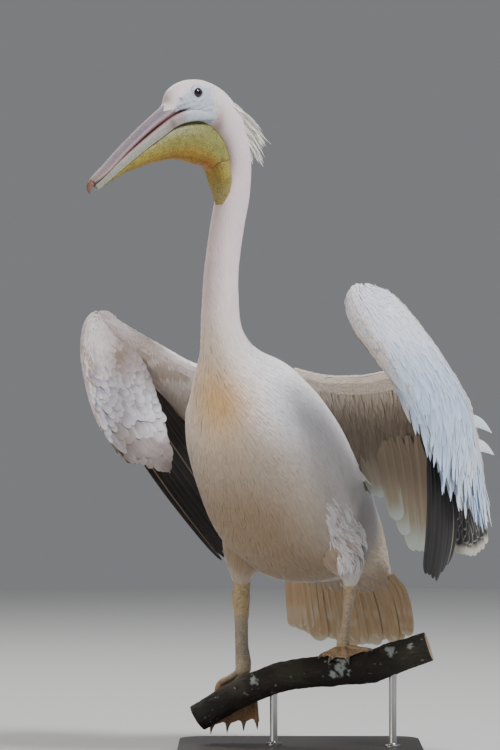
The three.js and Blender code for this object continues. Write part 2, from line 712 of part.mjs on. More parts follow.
function standBase() {
  const outline = new THREE.Shape();
  const x = BASE_WIDTH / 2 - BASE_CORNER;
  const y = BASE_DEPTH / 2 - BASE_CORNER;
  outline.absarc(x, y, BASE_CORNER, 0, Math.PI / 2);
  outline.absarc(-x, y, BASE_CORNER, Math.PI / 2, Math.PI);
  outline.absarc(-x, -y, BASE_CORNER, Math.PI, 1.5 * Math.PI);
  outline.absarc(x, -y, BASE_CORNER, 1.5 * Math.PI, 2 * Math.PI);
  const settings = { depth: BASE_THICKNESS, bevelEnabled: false, curveSegments: 4 };
  return new THREE.ExtrudeGeometry(outline, settings);
}

// ---------------------------------------------------------------- assembly

const model = new THREE.Group();
model.name = 'great_white_pelican';

function add(name, geometry, material) {
  const mesh = new THREE.Mesh(geometry, material);
  mesh.name = name;
  model.add(mesh);
}

const body = wholeSpine();
const eyes = [eyeBall(1), eyeBall(-1)];
add('rump', spineStretch(0, RUMP_END), PLUMAGE);
add('belly', spineStretch(RUMP_END, BELLY_END), PLUMAGE);
add('breast', spineStretch(BELLY_END, BREAST_END), PLUMAGE);
add('neck_lower', spineStretch(BREAST_END, LOWER_NECK_END), PLUMAGE);
add('neck_upper', spineStretch(LOWER_NECK_END, UPPER_NECK_END), PLUMAGE);
add('head', cutBack(spineStretch(UPPER_NECK_END, spine.length - 1), eyes), FACE);
add('eye_left', eyes[0], EYE);
add('eye_right', eyes[1], EYE);

const upperBill = cutBack(limb(UPPER_BILL, 11, 10), [body]);
const nail = limb(NAIL_STATIONS, 5, 10);
const jaw = cutBack(lowerBill(), [body, upperBill, nail]);
add('bill_upper', upperBill, BILL);
add('bill_nail', cutBack(nail, [upperBill]), NAIL);
add('bill_lower', jaw, MANDIBLE);
add('pouch', cutBack(limb(POUCH_STATIONS, 12, 10), [body, upperBill, jaw]), POUCH);
add('crest', cutBack(crest(), [body]), PLUMAGE);

add('tail', cutBack(tailFan(), [body]), TAIL);

const legPieces = [];
for (const name of ['left', 'right']) {
  const thigh = cutBack(limb(LEGS[name].thigh, 7, 14), [body]);
  const shank = cutBack(limb(LEGS[name].shank, 9, 10), [thigh]);
  const sole = cutBack(foot(name), [shank]);
  add(`thigh_${name}`, thigh, PLUMAGE);
  add(`leg_${name}`, shank, LEG);
  add(`foot_${name}`, sole, LEG);
  legPieces.push(sole);
  FEET[name].toes.forEach((toe, i) => {
    const piece = cutBack(claw(toe), [sole]);
    add(`claw_${name}_${i + 1}`, piece, CLAW);
    legPieces.push(piece);
  });
}

function addWing(name, wing) {
  const hand = foilPanel(wing.hand, 14);
  const arm = cutBack(foilPanel(wing.upperArm, 9), [body, hand]);
  const done = [body, hand, arm];
  add(`wing_${name}_arm`, arm, PLUMAGE);
  add(`wing_${name}_hand`, hand, PLUMAGE);
  if (wing.forearm) {
    const forearm = cutBack(foilPanel(wing.forearm, 9), done);
    add(`wing_${name}_forearm`, forearm, PLUMAGE);
    done.push(forearm);
  }
  for (const group of ['primaries', 'secondaries', 'tertials']) {
    if (!wing[group]) continue;
    const feathers = cutBack(fan(wing[group]), done);
    add(`wing_${name}_${group}`, feathers, group === 'tertials' ? PLUMAGE : FLIGHT);
    done.push(feathers);
  }
}

addWing('left', LEFT_WING);
addWing('right', RIGHT_WING);

const rods = { left: rod('left'), right: rod('right') };
const perch = cutBack(perchBranch(), legPieces);
add('perch_branch', perch, BARK);
add('stand_base', standBase(), STAND);
add('stand_rod_left', cutBack(rods.left, [perch]), ROD);
add('stand_rod_right', cutBack(rods.right, [perch]), ROD);

export default model;
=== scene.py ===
import math

import bpy
import numpy as np
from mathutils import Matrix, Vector, noise
from mathutils.bvhtree import BVHTree


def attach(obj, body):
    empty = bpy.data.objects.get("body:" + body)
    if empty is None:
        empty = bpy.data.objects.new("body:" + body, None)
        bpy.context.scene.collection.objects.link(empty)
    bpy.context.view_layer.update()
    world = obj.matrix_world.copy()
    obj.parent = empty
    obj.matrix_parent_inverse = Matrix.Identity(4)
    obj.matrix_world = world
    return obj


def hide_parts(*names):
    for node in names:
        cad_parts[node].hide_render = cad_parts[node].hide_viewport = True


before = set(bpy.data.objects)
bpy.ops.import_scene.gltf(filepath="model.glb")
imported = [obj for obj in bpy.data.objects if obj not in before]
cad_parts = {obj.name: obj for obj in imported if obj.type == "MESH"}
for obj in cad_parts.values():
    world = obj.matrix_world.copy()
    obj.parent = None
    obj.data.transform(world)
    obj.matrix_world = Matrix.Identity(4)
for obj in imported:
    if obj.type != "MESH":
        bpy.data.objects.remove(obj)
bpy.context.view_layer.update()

bpy.ops.object.select_all(action="DESELECT")


# ---------------------------------------------------------------- the studio
# A pale floor, a soft grey room and large soft lamps. The camera stands nine metres off
# at the height of the bird's breast and looks level at it.
MM = 0.001
FLOOR_RADIUS, SENSOR = 7, 36

bpy.ops.mesh.primitive_circle_add(vertices=96, radius=FLOOR_RADIUS, fill_type="NGON", location=(0, 0, 0))
floor = bpy.context.object
floor.name = "studio_floor"

floor_finish = bpy.data.materials.new("pale_floor")
floor_finish.use_nodes = True
floor_shader = floor_finish.node_tree.nodes["Principled BSDF"]
floor_shader.inputs["Base Color"].default_value = (0.56, 0.56, 0.55, 1)
floor_shader.inputs["Roughness"].default_value = 0.85
floor.data.materials.append(floor_finish)

room = bpy.data.worlds.new("soft_room")
room.use_nodes = True
room.node_tree.nodes["Background"].inputs["Color"].default_value = (0.20, 0.205, 0.215, 1)
room.node_tree.nodes["Background"].inputs["Strength"].default_value = 1.0
bpy.context.scene.world = room


def soft_lamp(name, place, aim, size, power, colour):
    bpy.ops.object.light_add(type="AREA", location=place)
    lamp = bpy.context.object
    lamp.name = name
    lamp.data.size = size
    lamp.data.energy = power
    lamp.data.color = colour
    direction = Vector(aim) - Vector(place)
    lamp.rotation_euler = direction.to_track_quat("-Z", "Y").to_euler()


soft_lamp("key_lamp", (2.7, -2.3, 4.8), (0, 0, 0.8), 1.5, 350, (0.96, 0.98, 1.0))
soft_lamp("fill_lamp", (-3.8, -3.4, 1.6), (0, 0, 0.7), 2.6, 70, (1.0, 0.88, 0.76))
soft_lamp("rim_lamp", (-1.6, 2.6, 4.2), (0, 0, 0.9), 2.0, 150, (1.0, 0.98, 0.96))

CAMERA_PLACE = (-0.1065, -9.0, 0.807)
FRAME_HEIGHT = 1.5975
bpy.ops.object.camera_add(location=CAMERA_PLACE, rotation=(math.radians(90), 0, 0))
camera = bpy.context.object
camera.data.sensor_width = SENSOR
camera.data.lens = SENSOR * -CAMERA_PLACE[1] / FRAME_HEIGHT
camera.data.clip_end = 60
bpy.context.scene.camera = camera
bpy.ops.object.select_all(action="DESELECT")


# ---------------------------------------------------------------- base and rods
# The display stand: a painted board with rounded corners, and two steel rods with turned
# collars that are screwed into it and run up into drilled holes in the branch.
BASE_WIDTH, BASE_DEPTH, BASE_THICKNESS, BASE_CORNER = 520, 440, 20, 60
ROD_RADIUS = 8
COLLAR_RADIUS = 17
RODS = {"left": (196, -47, 196), "right": (-56, -1, 148)}


def finish(name, colour, roughness, **sockets):
    """A material with its shader's plain values set on the shader itself."""
    made = bpy.data.materials.new(name)
    made.use_nodes = True
    shader = made.node_tree.nodes["Principled BSDF"]
    shader.inputs["Base Color"].default_value = (*colour, 1)
    shader.inputs["Roughness"].default_value = roughness
    for socket, value in sockets.items():
        shader.inputs[socket.replace("_", " ")].default_value = value
    return made


def grain(made, scale, distortion=0.0, detail=4.0, stretch=(1, 1, 1)):
    """A noise on the object's own coordinates, as the start of a colour or a bump."""
    tree = made.node_tree
    place = tree.nodes.new("ShaderNodeTexCoord")
    lay = tree.nodes.new("ShaderNodeMapping")
    lay.inputs["Scale"].default_value = stretch
    speckle = tree.nodes.new("ShaderNodeTexNoise")
    speckle.inputs["Scale"].default_value = scale
    speckle.inputs["Detail"].default_value = detail
    speckle.inputs["Distortion"].default_value = distortion
    tree.links.new(place.outputs["Object"], lay.inputs["Vector"])
    tree.links.new(lay.outputs["Vector"], speckle.inputs["Vector"])
    return speckle.outputs["Fac"]


def ramp(made, source, stops):
    """Turns a value into colours between named stops."""
    band = made.node_tree.nodes.new("ShaderNodeValToRGB")
    band.color_ramp.elements[0].position, band.color_ramp.elements[0].color = stops[0][0], (*stops[0][1], 1)
    band.color_ramp.elements[1].position, band.color_ramp.elements[1].color = stops[-1][0], (*stops[-1][1], 1)
    for position, colour in stops[1:-1]:
        band.color_ramp.elements.new(position).color = (*colour, 1)
    made.node_tree.links.new(source, band.inputs["Fac"])
    return band.outputs["Color"]


def mixed(made, kind, amount, first, second):
    """Mixes two colours, each an output or a plain colour, by a plain amount or an output."""
    mix = made.node_tree.nodes.new("ShaderNodeMix")
    mix.data_type = "RGBA"
    mix.blend_type = kind
    for socket, value in ((mix.inputs[0], amount), (mix.inputs[6], first), (mix.inputs[7], second)):
        if isinstance(value, bpy.types.NodeSocket):
            made.node_tree.links.new(value, socket)
        elif isinstance(value, tuple):
            socket.default_value = (*value, 1)
        else:
            socket.default_value = value
    return mix.outputs[2]


def coloured(made, colour):
    made.node_tree.links.new(colour, made.node_tree.nodes["Principled BSDF"].inputs["Base Color"])


def bumped(made, height, depth, strength=1.0):
    """Adds a bump; several in a row add up."""
    tree = made.node_tree
    shader = tree.nodes["Principled BSDF"]
    bump = tree.nodes.new("ShaderNodeBump")
    bump.inputs["Strength"].default_value = strength
    bump.inputs["Distance"].default_value = depth * MM
    tree.links.new(height, bump.inputs["Height"])
    if shader.inputs["Normal"].links:
        tree.links.new(shader.inputs["Normal"].links[0].from_socket, bump.inputs["Normal"])
    tree.links.new(bump.outputs["Normal"], shader.inputs["Normal"])


def roughened(made, source, low, high):
    """Lets the roughness wander between two values with a pattern."""
    span = made.node_tree.nodes.new("ShaderNodeMapRange")
    span.inputs["To Min"].default_value = low
    span.inputs["To Max"].default_value = high
    made.node_tree.links.new(source, span.inputs["Value"])
    made.node_tree.links.new(span.outputs["Result"], made.node_tree.nodes["Principled BSDF"].inputs["Roughness"])


def outward(corners, faces):
    """Turns the faces of a closed shell round where they point in."""
    volume = 0.0
    for face in faces:
        for i in range(1, len(face) - 1):
            volume += np.dot(corners[face[0]], np.cross(corners[face[i]], corners[face[i + 1]]))
    return [tuple(reversed(face)) for face in faces] if volume < 0 else faces


def smoothed(mesh):
    mesh.polygons.foreach_set("use_smooth", [True] * len(mesh.polygons))


def shell_piece(name, corners, faces, materials=(), smooth=True):
    """A closed mesh from corners in millimetres."""
    mesh = bpy.data.meshes.new(name)
    corners = np.asarray(corners, float).reshape(-1, 3)
    mesh.from_pydata((corners * MM).tolist(), [], outward(corners, faces))
    mesh.update()
    for material in materials:
        mesh.materials.append(material)
    if smooth:
        smoothed(mesh)
    piece = bpy.data.objects.new(name, mesh)
    bpy.context.scene.collection.objects.link(piece)
    return piece


def full_turn(around):
    return np.linspace(0, 2 * np.pi, around, endpoint=False)


def tube_faces(rows, around, closed_ends=True):
    faces = []
    for r in range(rows - 1):
        for k in range(around):
            n = (k + 1) % around
            faces.append((r * around + k, r * around + n, (r + 1) * around + n, (r + 1) * around + k))
    if closed_ends:
        faces.append(tuple(reversed(range(around))))
        faces.append(tuple((rows - 1) * around + k for k in range(around)))
    return faces


def fitted(piece, slot, *nodes):
    """Puts a piece on the model: it rides with it and stands for CAD nodes, which it hides. The slot is not used."""
    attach(piece, "root")
    if nodes:
        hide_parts(*nodes)
    return piece


base_paint = finish("dark_painted_board", (0.028, 0.024, 0.022), 0.42)
board_grain = grain(base_paint, 30, 1.0, 6.0, (1, 14, 1))
coloured(base_paint, ramp(base_paint, board_grain, [(0.3, (0.022, 0.019, 0.017)), (0.7, (0.043, 0.036, 0.031))]))
roughened(base_paint, board_grain, 0.34, 0.52)
bumped(base_paint, board_grain, 0.2, 0.5)

bpy.ops.mesh.primitive_cube_add(size=1, location=(0, 0, 0))
base = bpy.context.object
base.name = "stand_board"
bpy.ops.transform.resize(value=(BASE_WIDTH * MM, BASE_DEPTH * MM, BASE_THICKNESS * MM))
bpy.ops.transform.translate(value=(0, 0, BASE_THICKNESS * MM / 2))
bpy.ops.object.transform_apply(location=True, rotation=True, scale=True)
for edge in base.data.edges:
    ends = [base.data.vertices[i].co for i in edge.vertices]
    edge.select = abs(ends[0].z - ends[1].z) > BASE_THICKNESS * MM / 2
for flat in base.data.polygons:
    flat.select = False
bpy.context.tool_settings.mesh_select_mode = (False, True, False)
bpy.ops.object.mode_set(mode="EDIT")
bpy.ops.mesh.bevel(offset=BASE_CORNER * MM, segments=18)
bpy.ops.mesh.select_all(action="DESELECT")
bpy.ops.object.mode_set(mode="OBJECT")
for edge in base.data.edges:
    edge.select = all(base.data.vertices[i].co.z > BASE_THICKNESS * MM - 1e-5 for i in edge.vertices)
bpy.ops.object.mode_set(mode="EDIT")
bpy.ops.mesh.bevel(offset=4 * MM, segments=4)
bpy.ops.object.mode_set(mode="OBJECT")
bpy.context.tool_settings.mesh_select_mode = (True, False, False)
bpy.ops.object.shade_smooth_by_angle(angle=math.radians(35))
base.data.materials.append(base_paint)
fitted(base, "stand", "stand_base")
bpy.ops.object.select_all(action="DESELECT")

rod_steel = finish("brushed_steel_rod", (0.5, 0.5, 0.5), 0.3, Metallic=1.0)
brushing = grain(rod_steel, 300, 0.0, 2.0, (1, 1, 0.05))
roughened(rod_steel, brushing, 0.24, 0.4)
bumped(rod_steel, brushing, 0.05, 0.4)

ROD_SIDES = 40
for side, (x, y, reach) in RODS.items():
    turned = [(COLLAR_RADIUS, 0.0), (COLLAR_RADIUS, 3.0), (COLLAR_RADIUS - 1.2, 4.2), (ROD_RADIUS + 2.5, 4.6),
              (ROD_RADIUS + 0.8, 6.0), (ROD_RADIUS, 9.0), (ROD_RADIUS, reach * 0.5), (ROD_RADIUS, reach)]
    turns = full_turn(ROD_SIDES)
    rings = [[(x + r * np.cos(a), y + r * np.sin(a), BASE_THICKNESS + h) for a in turns] for r, h in turned]
    rod = shell_piece(f"stand_rod_{side}_turned", rings, tube_faces(len(turned), ROD_SIDES), [rod_steel])
    bpy.context.view_layer.objects.active = rod
    rod.select_set(True)
    bpy.ops.object.shade_smooth_by_angle(angle=math.radians(40))
    rod.select_set(False)
    fitted(rod, "rod", f"stand_rod_{side}")


# ---------------------------------------------------------------- perch
# A short length of weathered branch, sawn off at both ends, with ridged bark, a few knots
# and pale patches of lichen. It rests on the rods.
def smooth_run(points, count):
    """A smooth run of values through a few given ones (a centripetal Catmull-Rom curve)."""
    given = np.asarray(points, float)
    last = len(given) - 1
    out = np.empty((count, given.shape[1]))
    for i in range(count):
        place = last * i / (count - 1)
        k = min(int(place), last - 1)
        w = place - k
        b, c = given[k], given[k + 1]
        a = given[k - 1] if k > 0 else 2 * b - c
        d = given[k + 2] if k + 2 <= last else 2 * c - b
        gaps = [max(float(np.dot(q - p, q - p)), 0.0) ** 0.25 for p, q in ((a, b), (b, c), (c, d))]
        mid = gaps[1] if gaps[1] > 1e-4 else 1.0
        before = gaps[0] if gaps[0] > 1e-4 else mid
        after = gaps[2] if gaps[2] > 1e-4 else mid
        leave = ((b - a) / before - (c - a) / (before + mid) + (c - b) / mid) * mid
        arrive = ((c - b) / mid - (d - b) / (mid + after) + (d - c) / after) * mid
        out[i] = b + leave * w + (3 * (c - b) - 2 * leave - arrive) * w * w + (2 * (b - c) + leave + arrive) * w ** 3
    return out


def unit(vectors):
    return vectors / np.maximum(np.linalg.norm(vectors, axis=-1, keepdims=True), 1e-9)


def left_of(turn):
    """Sideways direction, toward the bird's left, of something turned by some degrees."""
    angle = np.radians(turn)
    return np.stack([np.cos(angle), -np.sin(angle), np.zeros_like(angle)], -1)


def forward_of(turn):
    angle = np.radians(turn)
    return np.stack([-np.sin(angle), -np.cos(angle), np.zeros_like(angle)], -1)


def rings_along(stations, count, around, fullness=2.0, turn=30.0):
    """Rings round a smooth line. A station is x, y, z, half width, half depth and perhaps a turn."""
    rows = np.array([s if len(s) == 6 else (*s, turn) for s in stations], float)
    centres = smooth_run(rows[:, :3], count)
    sizes = smooth_run(rows[:, 3:], count)
    along = unit(np.gradient(centres, axis=0))
    side = left_of(sizes[:, 2])
    side = unit(side - along * np.sum(side * along, -1, keepdims=True))
    up = np.cross(side, along)
    angle = full_turn(around)
    power = 2 / fullness
    c = np.sign(np.cos(angle)) * np.abs(np.cos(angle)) ** power
    s = np.sign(np.sin(angle)) * np.abs(np.sin(angle)) ** power
    return (centres[:, None] + side[:, None] * (sizes[:, 0, None, None] * c[None, :, None])
            + up[:, None] * (sizes[:, 1, None, None] * s[None, :, None]))


def value_noise(points, size, octaves=3):
    """Soft noise between -1 and 1 at each point, with features of a size in millimetres."""
    flat = np.asarray(points, float).reshape(-1, 3) / size
    values = np.array([noise.fractal(Vector(p), 1.0, 2.0, octaves) for p in flat])
    return values.reshape(np.asarray(points).shape[:-1])


def tinted(piece, colours, name="tint"):
    """Stores a colour at each corner of a mesh, for its material to read."""
    layer = piece.data.color_attributes.new(name=name, type="FLOAT_COLOR", domain="POINT")
    colours = np.asarray(colours, float).reshape(-1, 3)
    layer.data.foreach_set("color", np.column_stack([colours, np.ones(len(colours))]).astype(np.float32).ravel())


def attribute(made, name="tint"):
    reader = made.node_tree.nodes.new("ShaderNodeAttribute")
    reader.attribute_name = name
    return reader.outputs["Color"]


def soft_step(value, low, high):
    t = np.clip((value - low) / (high - low), 0, 1)
    return t * t * (3 - 2 * t)


def blended(first, second, amount):
    return first + (np.asarray(second) - first) * np.asarray(amount)[..., None]


def filled(value, shape):
    """One colour or direction laid over a whole grid."""
    return np.broadcast_to(np.array(value, float), shape)


PERCH = [(-218, 30, 74, 30, 29), (-170, 20, 104, 31, 30), (-100, 4, 141, 32, 31), (-27, -10, 168, 33, 32),
         (71, -28, 180, 35, 34), (150, -40, 189, 36, 34), (200, -48, 208, 35, 33), (272, -56, 232, 33, 32)]
KNOTS = [(0.24, 2.4, 7.0, 16), (0.55, 0.6, 5.0, 13), (0.83, 2.9, 6.0, 15)]
BARK_ROWS, BARK_AROUND = 240, 110

# The branch runs sideways, so its rings keep the world's own upright direction.
branch = rings_along(PERCH, BARK_ROWS, BARK_AROUND, turn=0.0)
perch_line = branch.mean(1)
branch_out = unit(branch - perch_line[:, None])
turn_of = full_turn(BARK_AROUND)[None, :]
run_of = np.linspace(0, 1, BARK_ROWS)[:, None]
stretched = np.stack([np.cos(turn_of) + 0 * run_of, np.sin(turn_of) + 0 * run_of, run_of * 4.0 + 0 * turn_of], -1) * 100
ridges = np.abs(value_noise(stretched, 22, 3))
lumps = value_noise(branch, 60, 2)
relief = -1.2 + 1.6 * lumps + 2.2 * (ridges - 0.3)
for place, angle, height, size in KNOTS:
    swing = np.angle(np.exp(1j * (turn_of - angle))) * 32
    apart = np.sqrt(((run_of - place) * 560) ** 2 + swing ** 2)
    relief = relief + height * (np.exp(-(apart / size) ** 2) - 0.9 * np.exp(-(apart / (size * 0.42)) ** 2))
branch = branch + branch_out * np.minimum(relief, 2.5)[..., None]
LICHEN = [(-98, -26, 158, 13), (86, -58, 186, 22), (66, -60, 176, 12), (190, -70, 224, 15), (232, -84, 236, 10)]
lichen = np.zeros(branch.shape[:2])
for x, y, z, size in LICHEN:
    lichen = np.maximum(lichen, 1.25 - np.linalg.norm(branch - np.array([x, y, z]), axis=-1) / size)
lichen = soft_step(lichen + 0.7 * value_noise(branch, 9, 3), 0.45, 0.75)
bark_colour = blended(filled([0.013, 0.010, 0.008], branch.shape), [0.042, 0.033, 0.026], soft_step(relief, -1.8, 1.6))
bark_colour = blended(bark_colour, [0.36, 0.43, 0.41], lichen * 0.8)
bark_colour = blended(bark_colour, [0.055, 0.06, 0.034], 0.35 * soft_step(value_noise(branch, 90, 2), 0.0, 0.5))

# The sawn ends: a ring of bark, then the wood drawn in to a middle.
corners = [branch.reshape(-1, 3)]
colours = [bark_colour.reshape(-1, 3)]
rings_of_wood = [(0.93, [0.20, 0.13, 0.08]), (0.90, [0.42, 0.30, 0.19]), (0.6, [0.38, 0.26, 0.16]),
                 (0.56, [0.46, 0.33, 0.21]), (0.3, [0.36, 0.24, 0.15]), (0.04, [0.30, 0.19, 0.12])]
faces = tube_faces(BARK_ROWS, BARK_AROUND, closed_ends=False)
for end in (0, BARK_ROWS - 1):
    before = end * BARK_AROUND
    for i, (size, colour) in enumerate(rings_of_wood):
        start = sum(len(c) for c in corners)
        ring = perch_line[end] + (branch[end] - perch_line[end]) * size
        corners.append(ring)
        colours.append(np.broadcast_to(colour, ring.shape))
        for k in range(BARK_AROUND):
            n = (k + 1) % BARK_AROUND
            quad = (before + k, before + n, start + n, start + k)
            faces.append(quad if end else tuple(reversed(quad)))
        before = start
    cap = tuple(before + k for k in range(BARK_AROUND))
    faces.append(cap if end else tuple(reversed(cap)))
perch_bark = finish("weathered_bark", (0.1, 0.08, 0.06), 0.9)
bark_grain = grain(perch_bark, 160, 1.5, 6.0)
coloured(perch_bark, mixed(perch_bark, "MULTIPLY", 0.7, attribute(perch_bark),
                           ramp(perch_bark, bark_grain, [(0.3, (0.5, 0.5, 0.5)), (0.7, (1.25, 1.2, 1.15))])))
bumped(perch_bark, bark_grain, 1.4, 0.9)
bumped(perch_bark, grain(perch_bark, 520, 0.5, 3.0), 0.4, 0.6)
roughened(perch_bark, bark_grain, 0.75, 0.97)
perch = shell_piece("perch_bark", np.concatenate(corners), faces, [perch_bark])
tinted(perch, np.concatenate(colours))
fitted(perch, "bark", "perch_branch")


# ---------------------------------------------------------------- trunk, neck and head as smooth rings
# The bird's flesh under its feathers: one line from the tail's root up to the brow, with a
# width and a depth at each place. The body is turned 30 degrees to its right, the head 50.
BODY_TURN, HEAD_TURN = 30.0, 50.0
BODY_MIDDLE, HEAD_MIDDLE = np.array([-50.0, -37.0, 0.0]), np.array([-214.0, -250.0, 0.0])


def body_point(forward, left, height):
    return BODY_MIDDLE + forward * forward_of(BODY_TURN) + left * left_of(BODY_TURN) + np.array([0, 0, height])


def head_point(forward, left, height):
    return HEAD_MIDDLE + forward * forward_of(HEAD_TURN) + left * left_of(HEAD_TURN) + np.array([0, 0, height])


def in_head(points):
    """Points as forward, left and height in the head's own frame."""
    apart = np.asarray(points, float) - HEAD_MIDDLE
    return np.stack([apart @ forward_of(HEAD_TURN), apart @ left_of(HEAD_TURN), apart[..., 2]], -1)


TRUNK = [(*body_point(f, l, z), side, up, BODY_TURN) for f, l, z, side, up in (
    (-322, 4, 340, 104, 7), (-288, 6, 386, 110, 28), (-244, 8, 424, 120, 64), (-180, 10, 458, 140, 106),
    (-100, 10, 500, 160, 146), (-28, 6, 560, 168, 162), (38, 4, 632, 164, 152), (97, 2, 700, 151, 138),
    (146, 0, 762, 126, 114), (184, -5, 815, 82, 80), (208, -6, 862, 51, 53))]
NECK = [(-167, -224, 908, 40, 42, 30), (-168, -222, 955, 37, 38, 30), (-167, -212, 1012, 35, 35, 30),
        (-161, -202, 1070, 34, 34, 36), (-152, -194, 1130, 34, 34, 41), (-143, -190, 1180, 33, 35, 45),
        (-135, -190, 1245, 30, 30, 48), (-145, -198, 1299, 31, 33, 50), (-163, -212, 1336, 33, 40, 50)]
HEAD = [(*head_point(f, 0, z), side, up, HEAD_TURN) for f, z, side, up in (
    (-36, 1360, 34, 45), (0, 1373, 34, 45), (36, 1374, 31, 41), (60, 1371, 26, 31), (77, 1355, 21.6, 17.2),
                                                                           (92, 1344, 20, 14.4),
    (106, 1335, 14, 10))]
TRUNK_ROWS, TRUNK_AROUND, TRUNK_FULLNESS = 400, 96, 2.2
trunk = rings_along(TRUNK + NECK + HEAD, TRUNK_ROWS, TRUNK_AROUND, TRUNK_FULLNESS)

THIGHS = {
    "left": [(40, -28, 520, 56, 60), (76, -52, 456, 62, 64), (98, -56, 412, 44, 44), (106, -48, 382, 21, 22),
             (106, -45, 362, 13, 14)],
    "right": [(-88, 24, 520, 56, 60), (-106, 26, 452, 60, 64), (-118, 36, 412, 44, 46), (-123, 42, 382, 26, 27),
              (-124, 44, 360, 16, 17)],
}
THIGH_ROWS, THIGH_AROUND, THIGH_COAT = 60, 48, 3.0
thighs = {side: rings_along(stations, THIGH_ROWS, THIGH_AROUND) for side, stations in THIGHS.items()}


# ---------------------------------------------------------------- wings as smooth panels
# Each wing is an upper arm from the shoulder and a hand that hangs from the wrist; the left
# one also shows its forearm. A section gives the front and rear edge, the way that its
# upper face looks, its thickness and its hollow.
LEFT_HAND = [
    ((104, -350, 990), (146, -326, 990), (0.5, -0.2, 1), 14, 2),
    ((90, -356, 966), (180, -290, 976), (0.5, -0.5, 0.7), 38, 5),
    ((106, -352, 908), (248, -240, 906), (0.6, -0.7, 0.4), 42, 16),
    ((142, -346, 856), (298, -214, 838), (0.6, -0.7, 0.3), 38, 22),
    ((180, -338, 804), (336, -196, 778), (0.6, -0.7, 0.2), 32, 26),
    ((222, -332, 740), (358, -190, 716), (0.6, -0.7, 0.1), 26, 26),
    ((262, -322, 676), (372, -190, 650), (0.6, -0.7, 0), 18, 22),
    ((320, -290, 606), (382, -196, 580), (0.6, -0.7, 0), 10, 14),
    ((370, -252, 545), (396, -206, 510), (0.6, -0.7, 0), 6, 8),
    ((390, -232, 474), (406, -214, 452), (0.6, -0.7, 0), 3, 2)]
LEFT_FOREARM = [
    ((128, -318, 952), (140, -300, 880), (0.7, 0.3, 0.5), 26, 2),
    ((166, -276, 912), (196, -246, 800), (0.7, 0.3, 0.4), 34, 6),
    ((212, -224, 868), (250, -190, 720), (0.7, 0.4, 0.3), 36, 8),
    ((256, -172, 824), (292, -140, 660), (0.7, 0.5, 0.3), 38, 10),
    ((286, -128, 794), (312, -98, 640), (0.7, 0.6, 0.3), 34, 8),
    ((296, -104, 776), (312, -78, 660), (0.7, 0.6, 0.3), 20, 4)]
LEFT_ARM = [
    ((-30, -72, 826), (20, -20, 700), (0, 1, 0.4), 46, 4),
    ((50, -96, 806), (70, -52, 640), (0, 1, 0.4), 38, 4),
    ((130, -118, 806), (140, -66, 610), (0, 1, 0.3), 32, 4),
    ((205, -128, 818), (205, -74, 600), (0, 1, 0.2), 28, 4),
    ((268, -128, 800), (262, -78, 600), (0, 1, 0.2), 22, 4)]
RIGHT_ARM = [
    ((-170, -14, 808), (-140, 100, 700), (-0.3, 0.6, 0.7), 44, 4),
    ((-232, -20, 832), (-190, 136, 690), (-0.3, 0.6, 0.7), 38, 6),
    ((-292, -36, 866), (-230, 142, 686), (-0.3, 0.7, 0.6), 36, 8),
    ((-346, -56, 898), (-262, 136, 690), (-0.3, 0.8, 0.5), 34, 10),
    ((-400, -80, 930), (-290, 110, 704), (-0.3, 0.8, 0.5), 30, 10),
    ((-430, -94, 940), (-330, 70, 740), (-0.3, 0.8, 0.5), 20, 6)]
RIGHT_HAND = [
    ((-420, -90, 943), (-400, -80, 941), (-0.4, 0.6, 0.8), 12, 2),
    ((-444, -97, 929), (-386, -62, 922), (-0.45, 0.7, 0.6), 26, 4),
    ((-456, -100, 905), (-372, -44, 896), (-0.5, 0.8, 0.4), 36, 6),
    ((-460, -100, 850), (-340, -14, 836), (-0.5, 0.9, 0.2), 38, 10),
    ((-450, -98, 786), (-316, 14, 770), (-0.5, 0.9, 0.1), 34, 12),
    ((-432, -90, 722), (-300, 28, 704), (-0.5, 0.9, 0), 28, 12),
    ((-402, -74, 662), (-292, 34, 654), (-0.5, 0.9, 0), 18, 10),
    ((-366, -50, 616), (-304, 20, 620), (-0.5, 0.9, 0), 8, 6)]
FOIL_PLACE, FOIL_FULL = (0, 0.06, 0.2, 0.45, 0.75, 1), (0.34, 0.8, 1, 0.82, 0.42, 0.1)
PANEL_ROWS, PANEL_COLUMNS = 70, 26


def panel_grids(sections, least=0.0, slimmer=0.0):
    """The upper and the under face of a wing panel, as grids from wrist or shoulder outward."""
    front = smooth_run([s[0] for s in sections], PANEL_ROWS)
    rear = smooth_run([s[1] for s in sections], PANEL_ROWS)
    look = smooth_run([s[2] for s in sections], PANEL_ROWS)
    size = smooth_run([(s[3], s[4]) for s in sections], PANEL_ROWS)
    chord = rear - front
    look = unit(look - chord * (np.sum(look * chord, -1) / np.sum(chord * chord, -1))[:, None])
    s = (1 - np.cos(np.linspace(0, np.pi, PANEL_COLUMNS))) / 2
    full = np.interp(s, FOIL_PLACE, FOIL_FULL)
    middle = front[:, None] + chord[:, None] * s[None, :, None]
    lift = size[:, 1, None] * 4 * (s * (1 - s))[None, :]
    half = np.maximum((size[:, 0, None] - slimmer) * full[None, :], least) / 2
    return [middle + look[:, None] * (lift + face * half)[..., None] for face in (1, -1)]


def panel_rings(sections, least=0.0, slimmer=0.0):
    over, under = panel_grids(sections, least, slimmer)
    return np.concatenate([over, under[:, ::-1]], 1)
